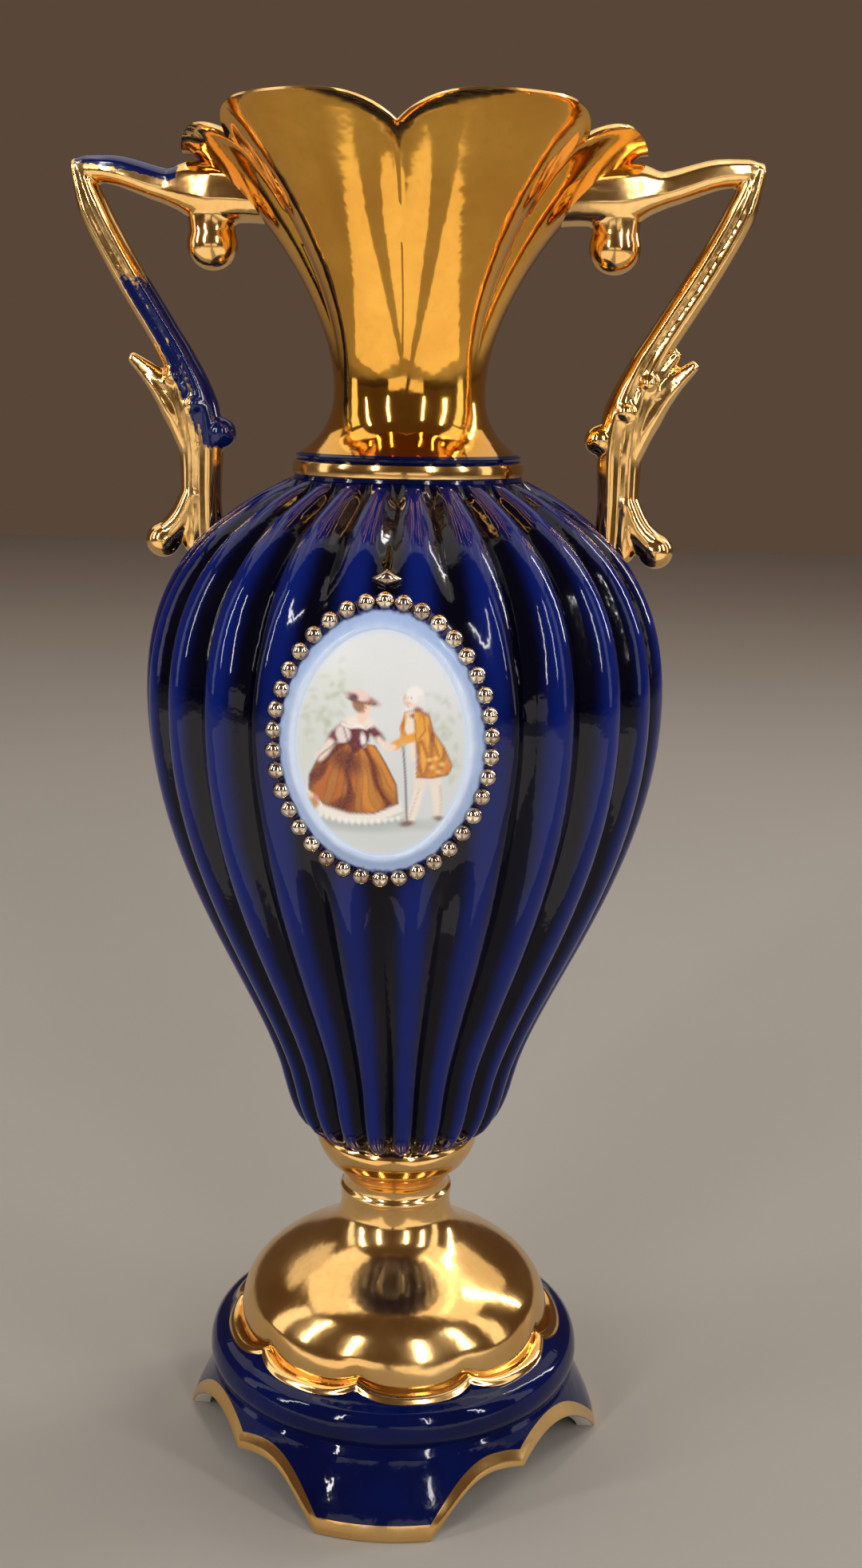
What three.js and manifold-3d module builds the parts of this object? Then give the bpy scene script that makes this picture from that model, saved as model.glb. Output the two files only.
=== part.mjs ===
import * as THREE from 'three';
import { mergeVertices } from 'three/addons/utils/BufferGeometryUtils.js';
import Module from 'manifold-3d';

// A two-handled mantel vase of glazed ceramic, fired as one piece: an arched foot with a scalloped dome,
// a stem with two turned rings, a ribbed body with a beaded oval frame, a collar, a trumpet neck of six
// lobes and two scroll handles. Millimetres, +Z up, the front with the oval frame faces -Y, and the
// origin is on the floor under the middle of the foot. Angles are counted from the front towards +X.

// Heights, stacked from the floor up
const SKIRT_HEIGHT = 24;
const DISC_HEIGHT = 12.5;
const DOME_HEIGHT = 39.5;
const RINGS_HEIGHT = 26;
const BODY_HEIGHT = 201;
const COLLAR_HEIGHT = 6;
const NECK_HEIGHT = 92;

// Radii
const FOOT_RADIUS = 66.5;
const GROOVE_RADIUS = 56.8;
const DISC_RADIUS = 58.8;
const LIP_RADIUS = 52.9;
const STEM_RADIUS = 17.3;
const BEAD_RING_RADIUS = 17.6;
const CUP_RING_RADIUS = 25;
const BODY_RADIUS = 76.4;
const COLLAR_RADIUS = 33.6;
const WAIST_RADIUS = 21.8;
const MOUTH_RADIUS = 65;

// Walls of the hollow parts
const FOOT_WALL = 6;
const BODY_WALL = 4.5;
const NECK_WALL = 3.2;
const FLOOR_THICKNESS = 9;
const BORE_STEP = 0.4;

// The four feet and the double arches between them. A pendant hangs between the two halves of an arch.
const FOOT_HALF_ANGLE = 15;
const SIDE_FOOT_ANGLE = 105;
const FRONT_PENDANT_ANGLE = 45;
const BACK_PENDANT_ANGLE = 142.5;
const PENDANT_HEIGHT = 12.7;
const NEAR_ARCH_HEIGHT = 14.5;
const WIDE_ARCH_HEIGHT = 17.5;

// The scalloped lip around the dome
const SCALLOP_COUNT = 9;
const SCALLOP_TURN = -8;
const SCALLOP_DEPTH = 2.6;
const LIP_WIDTH = 3;
const LIP_RAISE = 1.2;

// The ribs of the body
const RIB_COUNT = 24;
const RIB_DEPTH = 3.2;

// The lobes of the neck and its wavy rim
const LOBE_COUNT = 6;
const LOBE_DEPTH = 9.5;
const NOTCH_DROP = 7;
const SIDE_DROP = 8;
const SIDE_SPREAD = 15;

// The oval frame on the front of the body, and its beads
const OVAL_HEIGHT_ON_BODY = 137;
const BEAD_OVAL_HALF_WIDTH = 28.8;
const BEAD_OVAL_HALF_HEIGHT = 36.5;
const BEAD_COUNT = 38;
const BEAD_RADIUS = 2.6;
const PICTURE_HALF_WIDTH = 22.4;
const FRAME_RAISE = 2;
const PICTURE_RAISE = 1.2;
const FIELD_MARGIN = 5;
const FIELD_FADE = 9;
const BOSS_HALF_WIDTH = 4.6;
const BOSS_HALF_HEIGHT = 2.4;
const BOSS_GAP = 4;

// The handles. Reach is the distance of the tip from the axis.
const HANDLE_REACH = 97.7;
const HANDLE_THICKNESS = 9;
const HANDLE_DEPTH = 12;
const LEG_THICKNESS = 13;
const ARM_BELOW_MOUTH = 13.5;
const SCROLL_RADIUS = 7.4;
const SCROLL_DEPTH = 14;
const BALL_RADIUS = 5.2;
const KNOB_RADIUS = 4.4;

// How finely the round forms are divided
const BODY_STEPS = RIB_COUNT * 3;
const NECK_STEPS = LOBE_COUNT * 8;
const SKIRT_STEPS = SCALLOP_COUNT * 8;
const STEM_STEPS = 28;
const CAVITY_STEPS = 20;
const OVAL_STEPS = BEAD_COUNT * 2;

// Levels that follow from the heights
const DISC_TOP = SKIRT_HEIGHT + DISC_HEIGHT;
const DOME_TOP = DISC_TOP + DOME_HEIGHT;
const BODY_BASE = DOME_TOP + RINGS_HEIGHT;
const BODY_TOP = BODY_BASE + BODY_HEIGHT;
const COLLAR_TOP = BODY_TOP + COLLAR_HEIGHT;
const MOUTH = COLLAR_TOP + NECK_HEIGHT;
const OVAL_CENTRE = BODY_BASE + OVAL_HEIGHT_ON_BODY;
const BORE_RADIUS = WAIST_RADIUS - NECK_WALL;

const TAU = Math.PI * 2;
const degrees = THREE.MathUtils.degToRad;
const clamp = THREE.MathUtils.clamp;
const smooth = THREE.MathUtils.smoothstep;

const wasm = await Module();
wasm.setup();

// A closed geometry as a solid that can be joined and cut
function solidOf(geometry) {
  geometry.deleteAttribute('normal');
  geometry.deleteAttribute('uv');
  const merged = mergeVertices(geometry, 1e-4);
  const corners = merged.index.array;
  const kept = [];
  for (let i = 0; i < corners.length; i += 3) {
    const [a, b, c] = [corners[i], corners[i + 1], corners[i + 2]];
    if (a !== b && b !== c && c !== a) {
      kept.push(a, b, c);
    }
  }
  const mesh = new wasm.Mesh({
    numProp: 3,
    vertProperties: new Float32Array(merged.attributes.position.array),
    triVerts: new Uint32Array(kept),
  });
  return new wasm.Manifold(mesh);
}

function geometryOf(solid) {
  const mesh = solid.getMesh();
  const geometry = new THREE.BufferGeometry();
  geometry.setAttribute('position', new THREE.BufferAttribute(mesh.vertProperties, 3));
  geometry.setIndex(new THREE.BufferAttribute(mesh.triVerts, 1));
  geometry.computeVertexNormals();
  return geometry;
}

// A skin of rings from the lowest row to the highest, whose points place(row, angle) sets one by one
function skin(rowCount, steps, place) {
  const outline = [];
  for (let row = 0; row < rowCount; row += 1) {
    outline.push(new THREE.Vector2(1, row));
  }
  const geometry = new THREE.LatheGeometry(outline, steps);
  const position = geometry.attributes.position;
  for (let i = 0; i < position.count; i += 1) {
    const row = i % rowCount;
    const step = Math.floor(i / rowCount) % steps;
    const point = place(row, (TAU * step) / steps);
    position.setXYZ(i, point.x, point.y, point.z);
  }
  return solidOf(geometry);
}

// A turned form: each row is a function of the angle that gives the radius and the height there
function turned(rows, steps) {
  return skin(rows.length, steps, (row, angle) => {
    const [radius, height] = rows[row](angle);
    return new THREE.Vector3(radius * Math.sin(angle), -radius * Math.cos(angle), height);
  });
}

const ring = (radius, height) => () => [radius, height];

function bezier(...corners) {
  return new THREE.CubicBezierCurve(...corners.map(([radius, height]) => new THREE.Vector2(radius, height)));
}

// 0 in the middle of each of a number of equal sectors, 1 on the lines between them
function fromMiddle(angle, count, turn = 0) {
  const share = ((angle - turn) * count) / TAU;
  return Math.abs(2 * (share - Math.floor(share)) - 1);
}

// Foot

const skirtCurve = bezier(
  [FOOT_RADIUS, 0],
  [FOOT_RADIUS - 1, 8],
  [GROOVE_RADIUS + 3, SKIRT_HEIGHT - 9],
  [GROOVE_RADIUS + 0.6, SKIRT_HEIGHT],
);

function skirtRadius(height) {
  let low = 0;
  let high = 1;
  for (let i = 0; i < 24; i += 1) {
    const middle = (low + high) / 2;
    if (skirtCurve.getPoint(middle).y < height) {
      low = middle;
    } else {
      high = middle;
    }
  }
  return skirtCurve.getPoint(low).x;
}

// Height of half an arch, which climbs from a foot and comes down to its pendant
function halfArch(away, width, height) {
  const share = clamp(away / width, 0, 1);
  const climb = 1 - (1 - Math.min(1, share * 1.5)) ** 2;
  const drop = Math.max(0, share * 3 - 2);
  return height * climb - (height - PENDANT_HEIGHT) * drop ** 2;
}

// Height of the lower edge: flat under each foot, an arch with a small pendant between two feet
function edgeHeight(angle) {
  const turned = THREE.MathUtils.radToDeg(Math.abs(Math.atan2(Math.sin(angle), Math.cos(angle))));
  const sideFront = SIDE_FOOT_ANGLE - FOOT_HALF_ANGLE;
  const sideBack = SIDE_FOOT_ANGLE + FOOT_HALF_ANGLE;
  const back = 180 - FOOT_HALF_ANGLE;
  if (turned < FRONT_PENDANT_ANGLE) {
    return halfArch(turned - FOOT_HALF_ANGLE, FRONT_PENDANT_ANGLE - FOOT_HALF_ANGLE, NEAR_ARCH_HEIGHT);
  }
  if (turned < SIDE_FOOT_ANGLE) {
    return halfArch(sideFront - turned, sideFront - FRONT_PENDANT_ANGLE, WIDE_ARCH_HEIGHT);
  }
  if (turned < BACK_PENDANT_ANGLE) {
    return halfArch(turned - sideBack, BACK_PENDANT_ANGLE - sideBack, NEAR_ARCH_HEIGHT);
  }
  return halfArch(back - turned, back - BACK_PENDANT_ANGLE, NEAR_ARCH_HEIGHT);
}

// The skirt on its four feet, the disc above it and the scalloped lip
function makeBase() {
  const innerSkirt = (share) => (angle) => {
    const low = edgeHeight(angle);
    const height = low + share * (SKIRT_HEIGHT - low);
    return [skirtRadius(height) - FOOT_WALL, height];
  };
  const outerSkirt = (share) => (angle) => {
    const low = edgeHeight(angle);
    const height = low + share * (SKIRT_HEIGHT - 1 - low);
    return [skirtRadius(height), height];
  };
  const scallop = (inward, raise) => (angle) => {
    const notch = fromMiddle(angle, SCALLOP_COUNT, degrees(SCALLOP_TURN)) ** 3;
    const radius = LIP_RADIUS - SCALLOP_DEPTH * notch - inward;
    return [radius, DISC_TOP + SCALLOP_DEPTH * notch + raise];
  };
  const rows = [
    ring(0, SKIRT_HEIGHT),
    innerSkirt(1),
    innerSkirt(0),
    outerSkirt(0),
    outerSkirt(0.35),
    outerSkirt(1),
    ring(GROOVE_RADIUS, SKIRT_HEIGHT + 0.8),
    ring(DISC_RADIUS, SKIRT_HEIGHT + 4.5),
    ring(DISC_RADIUS - 1.6, DISC_TOP - 1.6),
    scallop(0, LIP_RAISE),
    scallop(LIP_WIDTH * 0.6, LIP_RAISE + 1.4),
    scallop(LIP_WIDTH + 1, 1),
    ring(0, DISC_TOP),
  ];
  return turned(rows, SKIRT_STEPS);
}

// The dome, the stem and its two rings
function makeStem() {
  const dome = bezier(
    [LIP_RADIUS - SCALLOP_DEPTH - LIP_WIDTH + 0.5, DISC_TOP + SCALLOP_DEPTH],
    [LIP_RADIUS - 3.2, DISC_TOP + DOME_HEIGHT * 0.65],
    [STEM_RADIUS + 2.7, DISC_TOP + DOME_HEIGHT * 0.62],
    [STEM_RADIUS, DOME_TOP],
  );
  const rows = [
    ring(0, DISC_TOP - 2),
    ring(LIP_RADIUS - SCALLOP_DEPTH - LIP_WIDTH + 0.5, DISC_TOP - 2),
    ...dome.getSpacedPoints(5).map((point) => ring(point.x, point.y)),
    ring(BEAD_RING_RADIUS, DOME_TOP + 6),
    ring(STEM_RADIUS - 0.8, DOME_TOP + 7.3),
    ring(STEM_RADIUS - 0.5, DOME_TOP + 11),
    ring(CUP_RING_RADIUS - 5, DOME_TOP + 15.5),
    ring(CUP_RING_RADIUS, BODY_BASE - 4),
    ring(CUP_RING_RADIUS - 1.6, BODY_BASE + 0.4),
    ring(0, BODY_BASE + 3.5),
  ];
  return turned(rows, STEM_STEPS);
}

// The hollow under the disc and the dome
function makeHollow() {
  const width = GROOVE_RADIUS - FOOT_WALL - 4;
  const hollow = bezier(
    [0, DISC_TOP + DOME_HEIGHT * 0.6],
    [STEM_RADIUS + 4, DISC_TOP + DOME_HEIGHT * 0.58],
    [width - 6, DISC_TOP + 8],
    [width, SKIRT_HEIGHT + 4],
  );
  const rows = [
    ...hollow.getPoints(3).map((point) => ring(point.x, point.y)),
    ring(width, SKIRT_HEIGHT - 2),
    ring(0, SKIRT_HEIGHT - 2),
  ].reverse();
  return turned(rows, STEM_STEPS);
}

// Body

const bodyCurves = [
  [2, bezier(
    [CUP_RING_RADIUS - 0.8, BODY_BASE + 0.6],
    [CUP_RING_RADIUS + 6, BODY_BASE + 1.4],
    [CUP_RING_RADIUS + 9.5, BODY_BASE + 11],
    [CUP_RING_RADIUS + 11.5, BODY_BASE + 20],
  )],
  [4, bezier(
    [CUP_RING_RADIUS + 11.5, BODY_BASE + 20],
    [CUP_RING_RADIUS + 18, BODY_BASE + BODY_HEIGHT * 0.24],
    [BODY_RADIUS, BODY_BASE + BODY_HEIGHT * 0.44],
    [BODY_RADIUS, BODY_BASE + BODY_HEIGHT * 0.685],
  )],
  [5, bezier(
    [BODY_RADIUS, BODY_BASE + BODY_HEIGHT * 0.685],
    [BODY_RADIUS, BODY_BASE + BODY_HEIGHT * 0.86],
    [BODY_RADIUS * 0.785, BODY_BASE + BODY_HEIGHT * 0.94],
    [COLLAR_RADIUS + 0.8, BODY_TOP],
  )],
];

// Points along the tips of the ribs, each with the way out of the surface there
function bodyOutline() {
  const points = [];
  for (const [steps, curve] of bodyCurves) {
    for (let i = points.length ? 1 : 0; i <= steps; i += 1) {
      const point = curve.getPointAt(i / steps);
      const along = curve.getTangentAt(i / steps);
      points.push({ radius: point.x, height: point.y, out: along.y, up: -along.x });
    }
  }
  return points;
}

const outline = bodyOutline();

// Radius of the body at a height, on the straight line between two points of the outline
function bodyRadius(height) {
  let i = 1;
  while (i < outline.length - 1 && outline[i].height < height) {
    i += 1;
  }
  const [low, high] = [outline[i - 1], outline[i]];
  const share = clamp((height - low.height) / (high.height - low.height), 0, 1);
  return low.radius + share * (high.radius - low.radius);
}

// 0 on the smooth field around the oval frame, 1 where the ribs are whole
function ribShare(angle, height) {
  const side = Math.atan2(Math.sin(angle), Math.cos(angle)) * BODY_RADIUS;
  const across = side / (BEAD_OVAL_HALF_WIDTH + FIELD_MARGIN);
  const upward = (height - OVAL_CENTRE) / (BEAD_OVAL_HALF_HEIGHT + FIELD_MARGIN);
  const away = Math.hypot(across, upward) - 1;
  return smooth(away * (BEAD_OVAL_HALF_WIDTH + FIELD_MARGIN), -1, FIELD_FADE);
}

function ribDrop(angle, height) {
  const narrowing = 0.35 + 0.65 * (bodyRadius(height) / BODY_RADIUS);
  const valley = fromMiddle(angle, RIB_COUNT) ** 2;
  const fade = ribShare(angle, height);
  return RIB_DEPTH * narrowing * (valley * fade + 0.35 * (1 - fade));
}

function makeBody() {
  const ribbed = outline.slice(1, -1).map((point) => (angle) => {
    const drop = ribDrop(angle, point.height);
    return [point.radius - drop * point.out, point.height - drop * point.up];
  });
  const first = outline[0];
  const rows = [
    ring(0, BODY_BASE - 1),
    ring(first.radius - 1.5, BODY_BASE - 1),
    ring(first.radius, first.height),
    ...ribbed,
    ring(COLLAR_RADIUS + 0.8, BODY_TOP),
    ring(0, BODY_TOP + 1),
  ];
  return turned(rows, BODY_STEPS);
}

// The empty inside of the body, with the way up into the neck
function makeCavity() {
  const floor = BODY_BASE + FLOOR_THICKNESS;
  const ceiling = BODY_TOP - BODY_WALL;
  const inset = BODY_WALL + RIB_DEPTH;
  const bore = BORE_RADIUS + BORE_STEP;
  const walls = [];
  for (const point of outline.filter((_, i) => i % 2 === 0)) {
    const radius = point.radius - inset * point.out;
    const height = point.height - inset * point.up;
    if (height > floor + 2 && height < ceiling - 2 && radius > bore + 2) {
      walls.push(ring(radius, height));
    }
  }
  const rows = [
    ring(0, floor),
    ring(bodyRadius(floor) - inset - 4, floor + 0.5),
    ...walls,
    ring(bore, ceiling),
    ring(bore, BODY_TOP + 3),
    ring(0, BODY_TOP + 3),
  ];
  return turned(rows, CAVITY_STEPS);
}

// Neck

const neckWaist = COLLAR_TOP + NECK_HEIGHT * 0.2;
const neckFlare = bezier(
  [COLLAR_RADIUS - 0.8, COLLAR_TOP - 0.5],
  [COLLAR_RADIUS - 5, COLLAR_TOP + 3],
  [WAIST_RADIUS, COLLAR_TOP + NECK_HEIGHT * 0.09],
  [WAIST_RADIUS, neckWaist],
);
const trumpet = bezier(
  [WAIST_RADIUS, neckWaist],
  [WAIST_RADIUS, COLLAR_TOP + NECK_HEIGHT * 0.45],
  [WAIST_RADIUS + (MOUTH_RADIUS - WAIST_RADIUS) * 0.44, COLLAR_TOP + NECK_HEIGHT * 0.73],
  [MOUTH_RADIUS, MOUTH],
);

// A row of the trumpet: the lobes deepen towards the rim, and the rim dips at the notches and at the handles
function trumpetRow(share, thickness, lift) {
  const point = trumpet.getPoint(share);
  const along = trumpet.getTangent(share);
  const across = thickness * Math.hypot(1, along.x / along.y);
  return (angle) => {
    const away = fromMiddle(angle, LOBE_COUNT);
    const lobe = LOBE_DEPTH * share ** 1.6 * away ** 2.5;
    const notch = NOTCH_DROP * away ** 3.5;
    const fromSide = THREE.MathUtils.radToDeg(Math.abs(Math.acos(Math.abs(Math.sin(angle)))));
    const side = SIDE_DROP * Math.exp(-((fromSide / SIDE_SPREAD) ** 2));
    const dip = (notch + side) * share ** 5;
    return [point.x - lobe - across, point.y - dip + lift];
  };
}

function makeNeck() {
  const flare = neckFlare.getPoints(2).map((point) => ring(point.x, point.y));
  const outside = [];
  const inside = [];
  const shares = [0.35, 0.6, 0.82];
  for (const share of shares) {
    outside.push(trumpetRow(share, 0, 0));
    inside.unshift(trumpetRow(share, NECK_WALL, 0));
  }
  const base = ring(COLLAR_RADIUS - 3, BODY_TOP - BODY_WALL + 1);
  const rows = [
    base,
    ring(COLLAR_RADIUS, BODY_TOP + 1.5),
    ring(COLLAR_RADIUS, COLLAR_TOP - 1.5),
    ...flare,
    ...outside,
    trumpetRow(1, 0.6, 0),
    trumpetRow(1, NECK_WALL, 0),
    ...inside,
    ring(BORE_RADIUS, neckWaist),
    ring(BORE_RADIUS, BODY_TOP - BODY_WALL + 1),
    base,
  ];
  return turned(rows, NECK_STEPS);
}

// Oval frame

// A point on the front of the body, at a distance to the side and up from the middle of the oval,
// raised above the tips of the ribs
function onFront(side, up, raise) {
  const height = OVAL_CENTRE + up;
  const radius = bodyRadius(height) + raise;
  const angle = side / BODY_RADIUS;
  return new THREE.Vector3(radius * Math.sin(angle), -radius * Math.cos(angle), height);
}

// The oval with its raised band, its lower picture and the beads around it. Even steps run through the
// middle of a bead, odd steps between two beads.
function makeFrame() {
  const bandOut = BEAD_OVAL_HALF_WIDTH - BEAD_RADIUS;
  const field = -0.35 * RIB_DEPTH;
  const base = field - BODY_WALL / 2;
  const rows = [
    [0, base, base],
    [BEAD_OVAL_HALF_WIDTH + BEAD_RADIUS, base, base],
    [BEAD_OVAL_HALF_WIDTH + BEAD_RADIUS, field + 0.3, field + 0.3],
    [BEAD_OVAL_HALF_WIDTH, field + BEAD_RADIUS * 1.3, field + 0.5],
    [bandOut, FRAME_RAISE * 0.5, FRAME_RAISE * 0.5],
    [PICTURE_HALF_WIDTH + 1, FRAME_RAISE, FRAME_RAISE],
    [PICTURE_HALF_WIDTH, PICTURE_RAISE, PICTURE_RAISE],
    [0, PICTURE_RAISE, PICTURE_RAISE],
  ];
  const taller = BEAD_OVAL_HALF_HEIGHT - BEAD_OVAL_HALF_WIDTH;
  return skin(rows.length, OVAL_STEPS, (row, angle) => {
    const [half, onBead, between] = rows[row];
    const even = Math.round((angle * OVAL_STEPS) / TAU) % 2 === 0;
    const halfUp = half + taller * Math.min(1, half / PICTURE_HALF_WIDTH);
    return onFront(half * Math.sin(angle), -halfUp * Math.cos(angle), even ? onBead : between);
  });
}

function makeBoss() {
  const boss = new THREE.OctahedronGeometry(1, 0);
  boss.scale(BOSS_HALF_WIDTH, BOSS_HALF_HEIGHT, BOSS_HALF_HEIGHT);
  const centre = onFront(0, BEAD_OVAL_HALF_HEIGHT + BOSS_GAP + BOSS_HALF_HEIGHT, -1);
  boss.translate(centre.x, centre.y, centre.z);
  return solidOf(boss);
}

// Handles, drawn on the +X side and mirrored for the other

// A bar along a line of stations [x, z, half width in the plane of the handle, half depth]
function bar(stations, steps, sides) {
  const centres = stations.map(([x, z]) => new THREE.Vector3(x, 0, z));
  const path = new THREE.CatmullRomCurve3(centres, false, 'centripetal');
  const last = stations.length - 1;
  const geometry = new THREE.CylinderGeometry(1, 1, 1, sides, steps);
  const position = geometry.attributes.position;
  for (let i = 0; i < position.count; i += 1) {
    const share = clamp(position.getY(i) + 0.5, 0, 1);
    const centre = path.getPoint(share);
    const along = path.getTangent(share);
    const before = Math.min(last - 1, Math.floor(share * last));
    const part = share * last - before;
    const width = THREE.MathUtils.lerp(stations[before][2], stations[before + 1][2], part);
    const depth = THREE.MathUtils.lerp(stations[before][3], stations[before + 1][3], part);
    const across = position.getX(i) * width;
    centre.x += across * along.z;
    centre.z -= across * along.x;
    centre.y = -position.getZ(i) * depth;
    position.setXYZ(i, centre.x, centre.y, centre.z);
  }
  return solidOf(geometry);
}

function ball(x, z, radius, depth) {
  const geometry = new THREE.SphereGeometry(1, 8, 4);
  geometry.scale(radius, depth, radius);
  geometry.translate(x, 0, z);
  return solidOf(geometry);
}

function makeHandle() {
  const half = HANDLE_THICKNESS / 2;
  const deep = HANDLE_DEPTH / 2;
  const leg = LEG_THICKNESS / 2;
  const armLevel = MOUTH - ARM_BELOW_MOUTH;
  const shoulder = BODY_TOP - 18;
  const legX = bodyRadius(shoulder) + 0.5;
  const rise = armLevel - shoulder;
  const bendX = legX + 5;
  const bendZ = shoulder + rise * 0.48;
  const tipX = HANDLE_REACH;
  const arm = bar([
    [MOUTH_RADIUS - 17, armLevel - 6, 8, deep * 1.5],
    [MOUTH_RADIUS - 8, armLevel - 5.5, 8.8, deep * 1.45],
    [MOUTH_RADIUS - 1, armLevel - 4.5, 7.6, deep * 1.25],
    [MOUTH_RADIUS + 5, armLevel - 4, half * 1.1, deep * 1.05],
    [tipX - 14, armLevel, half * 0.95, deep],
    [tipX - 3, armLevel + 1, half * 0.7, deep * 0.8],
    [tipX, armLevel + 2, 1.2, deep * 0.5],
  ], 6, 8);
  const post = bar([
    [tipX - 2.5, armLevel + 1.5, half * 0.6, deep * 0.8],
    [tipX - 6.5, armLevel - 10, half, deep],
    [tipX - 15, armLevel - 26, half, deep],
    [bendX + 4.5, bendZ + 8, half, deep],
    [bendX, bendZ, half * 1.1, deep * 1.1],
    [legX + 1, bendZ - 12, leg * 1.05, deep * 1.15],
    [legX - 0.5, bendZ - 24, leg, deep],
    [legX - 0.5, shoulder + 12, leg * 0.92, deep],
    [legX - 1, shoulder - 2, leg * 0.92, deep],
  ], 9, 8);
  const leaf = bar([
    [legX + 1, bendZ - 17, 3, deep * 0.9],
    [legX + 9, bendZ - 8, 4, deep],
    [legX + 15.5, bendZ - 1.5, 2.6, deep * 0.9],
    [legX + 20.5, bendZ + 2.5, 0.8, deep * 0.4],
  ], 3, 8);
  const curl = bar([
    [legX + 1.5, shoulder + 13, 4, deep * 0.9],
    [legX + 5, shoulder + 5, 4.6, deep * 0.9],
    [legX + 10, shoulder, 4.4, deep * 0.85],
  ], 2, 8);
  const stalk = bar([
    [MOUTH_RADIUS - 8.5, armLevel - 6, SCROLL_RADIUS + 0.8, SCROLL_DEPTH / 2],
    [MOUTH_RADIUS - 8, armLevel - 12, SCROLL_RADIUS, SCROLL_DEPTH / 2],
    [MOUTH_RADIUS - 8, armLevel - 19.5, SCROLL_RADIUS * 0.85, SCROLL_DEPTH * 0.42],
  ], 2, 8);
  const pieces = [
    arm,
    post,
    leaf,
    curl,
    stalk,
    ball(legX + 11, shoulder - 1, BALL_RADIUS, BALL_RADIUS * 1.15),
    ball(legX - 6.5, bendZ - 19, KNOB_RADIUS, deep * 0.8),
    ball(MOUTH_RADIUS - 8, armLevel - 19.6, SCROLL_RADIUS, SCROLL_DEPTH / 2),
  ];
  return pieces.reduce((whole, piece) => whole.add(piece));
}

// The whole vase

let vase = makeBody();
vase = vase.add(makeFrame());
vase = vase.add(makeBoss());
const handle = makeHandle();
vase = vase.add(handle).add(handle.mirror([1, 0, 0]));
vase = vase.subtract(makeCavity());
vase = vase.add(makeStem()).add(makeBase()).subtract(makeHollow());
vase = vase.add(makeNeck());

const glaze = new THREE.MeshStandardMaterial({ color: 0x0d1470, roughness: 0.08, metalness: 0 });
const vaseMesh = new THREE.Mesh(geometryOf(vase), glaze);
vaseMesh.name = 'vase';

const group = new THREE.Group();
group.add(vaseMesh);

export default group;
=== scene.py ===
"""A two-handled mantel vase in cobalt glaze and amber gold lustre, with a painted oval on its front.

Sizes are in millimetres and turned to metres as a form is made. +Z is up, the front faces -Y, and angles
are counted from the front towards +X. The whole vase is one fired casting, so it is one piece here.
"""

import math

import bmesh
import bpy
import numpy as np
from mathutils import Matrix, Vector


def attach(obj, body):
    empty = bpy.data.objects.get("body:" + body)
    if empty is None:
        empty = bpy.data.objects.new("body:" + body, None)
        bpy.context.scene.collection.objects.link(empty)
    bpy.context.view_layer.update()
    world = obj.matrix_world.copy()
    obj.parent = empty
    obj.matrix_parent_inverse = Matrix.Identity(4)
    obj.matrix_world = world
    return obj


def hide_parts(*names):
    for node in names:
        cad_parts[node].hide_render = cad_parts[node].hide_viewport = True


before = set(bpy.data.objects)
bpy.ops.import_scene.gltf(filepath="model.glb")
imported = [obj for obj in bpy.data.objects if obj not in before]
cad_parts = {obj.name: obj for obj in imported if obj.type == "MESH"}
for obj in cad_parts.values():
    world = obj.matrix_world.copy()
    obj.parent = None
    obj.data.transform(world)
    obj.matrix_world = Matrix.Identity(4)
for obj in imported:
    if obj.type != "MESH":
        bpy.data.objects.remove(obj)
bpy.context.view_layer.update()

MM = 0.001
TAU = 2 * math.pi

# Heights, stacked from the floor up
SKIRT_HEIGHT = 24
DISC_HEIGHT = 12.5
DOME_HEIGHT = 39.5
RINGS_HEIGHT = 26
BODY_HEIGHT = 201
COLLAR_HEIGHT = 6
NECK_HEIGHT = 92

# Radii
FOOT_RADIUS = 66.5
GROOVE_RADIUS = 56.8
DISC_RADIUS = 58.8
LIP_RADIUS = 52.9
STEM_RADIUS = 17.3
BEAD_RING_RADIUS = 17.6
CUP_RING_RADIUS = 25
BODY_RADIUS = 76.4
COLLAR_RADIUS = 33.6
WAIST_RADIUS = 21.8
MOUTH_RADIUS = 65

# Walls
FOOT_WALL = 6
BODY_WALL = 4.5
NECK_WALL = 3.2
FLOOR_THICKNESS = 9

# Feet, arches and lip
FOOT_HALF_ANGLE = 15
SIDE_FOOT_ANGLE = 105
FRONT_PENDANT_ANGLE = 45
BACK_PENDANT_ANGLE = 142.5
PENDANT_HEIGHT = 12.7
NEAR_ARCH_HEIGHT = 14.5
WIDE_ARCH_HEIGHT = 17.5
BAND_HEIGHT = 5
SCALLOP_COUNT = 9
SCALLOP_TURN = math.radians(-8)
SCALLOP_DEPTH = 2.6
LIP_WIDTH = 3

# Ribs and lobes
RIB_COUNT = 24
RIB_DEPTH = 4
LOBE_COUNT = 6
LOBE_DEPTH = 9.5
NOTCH_DROP = 7
SIDE_DROP = 8
SIDE_SPREAD = 15

# Oval frame
OVAL_HEIGHT_ON_BODY = 137
BEAD_OVAL_HALF_WIDTH = 28.8
BEAD_OVAL_HALF_HEIGHT = 36.5
BEAD_COUNT = 38
BEAD_RADIUS = 2.45
PICTURE_HALF_WIDTH = 22.4
PICTURE_HALF_HEIGHT = 29.9
PICTURE_RAISE = 1.2
FIELD_MARGIN = 5
FIELD_FADE = 9

# Handles
HANDLE_REACH = 97.7
HANDLE_THICKNESS = 9
HANDLE_DEPTH = 12
LEG_THICKNESS = 13
ARM_BELOW_MOUTH = 13.5
SCROLL_RADIUS = 7.4
SCROLL_DEPTH = 14
BALL_RADIUS = 5.2
KNOB_RADIUS = 4.4
LIMB_SIDES = 24
MELT_GRAIN = 0.5
MELT_ROUNDS = 7
MELT_SHARE_KEPT = 0.14

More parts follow.
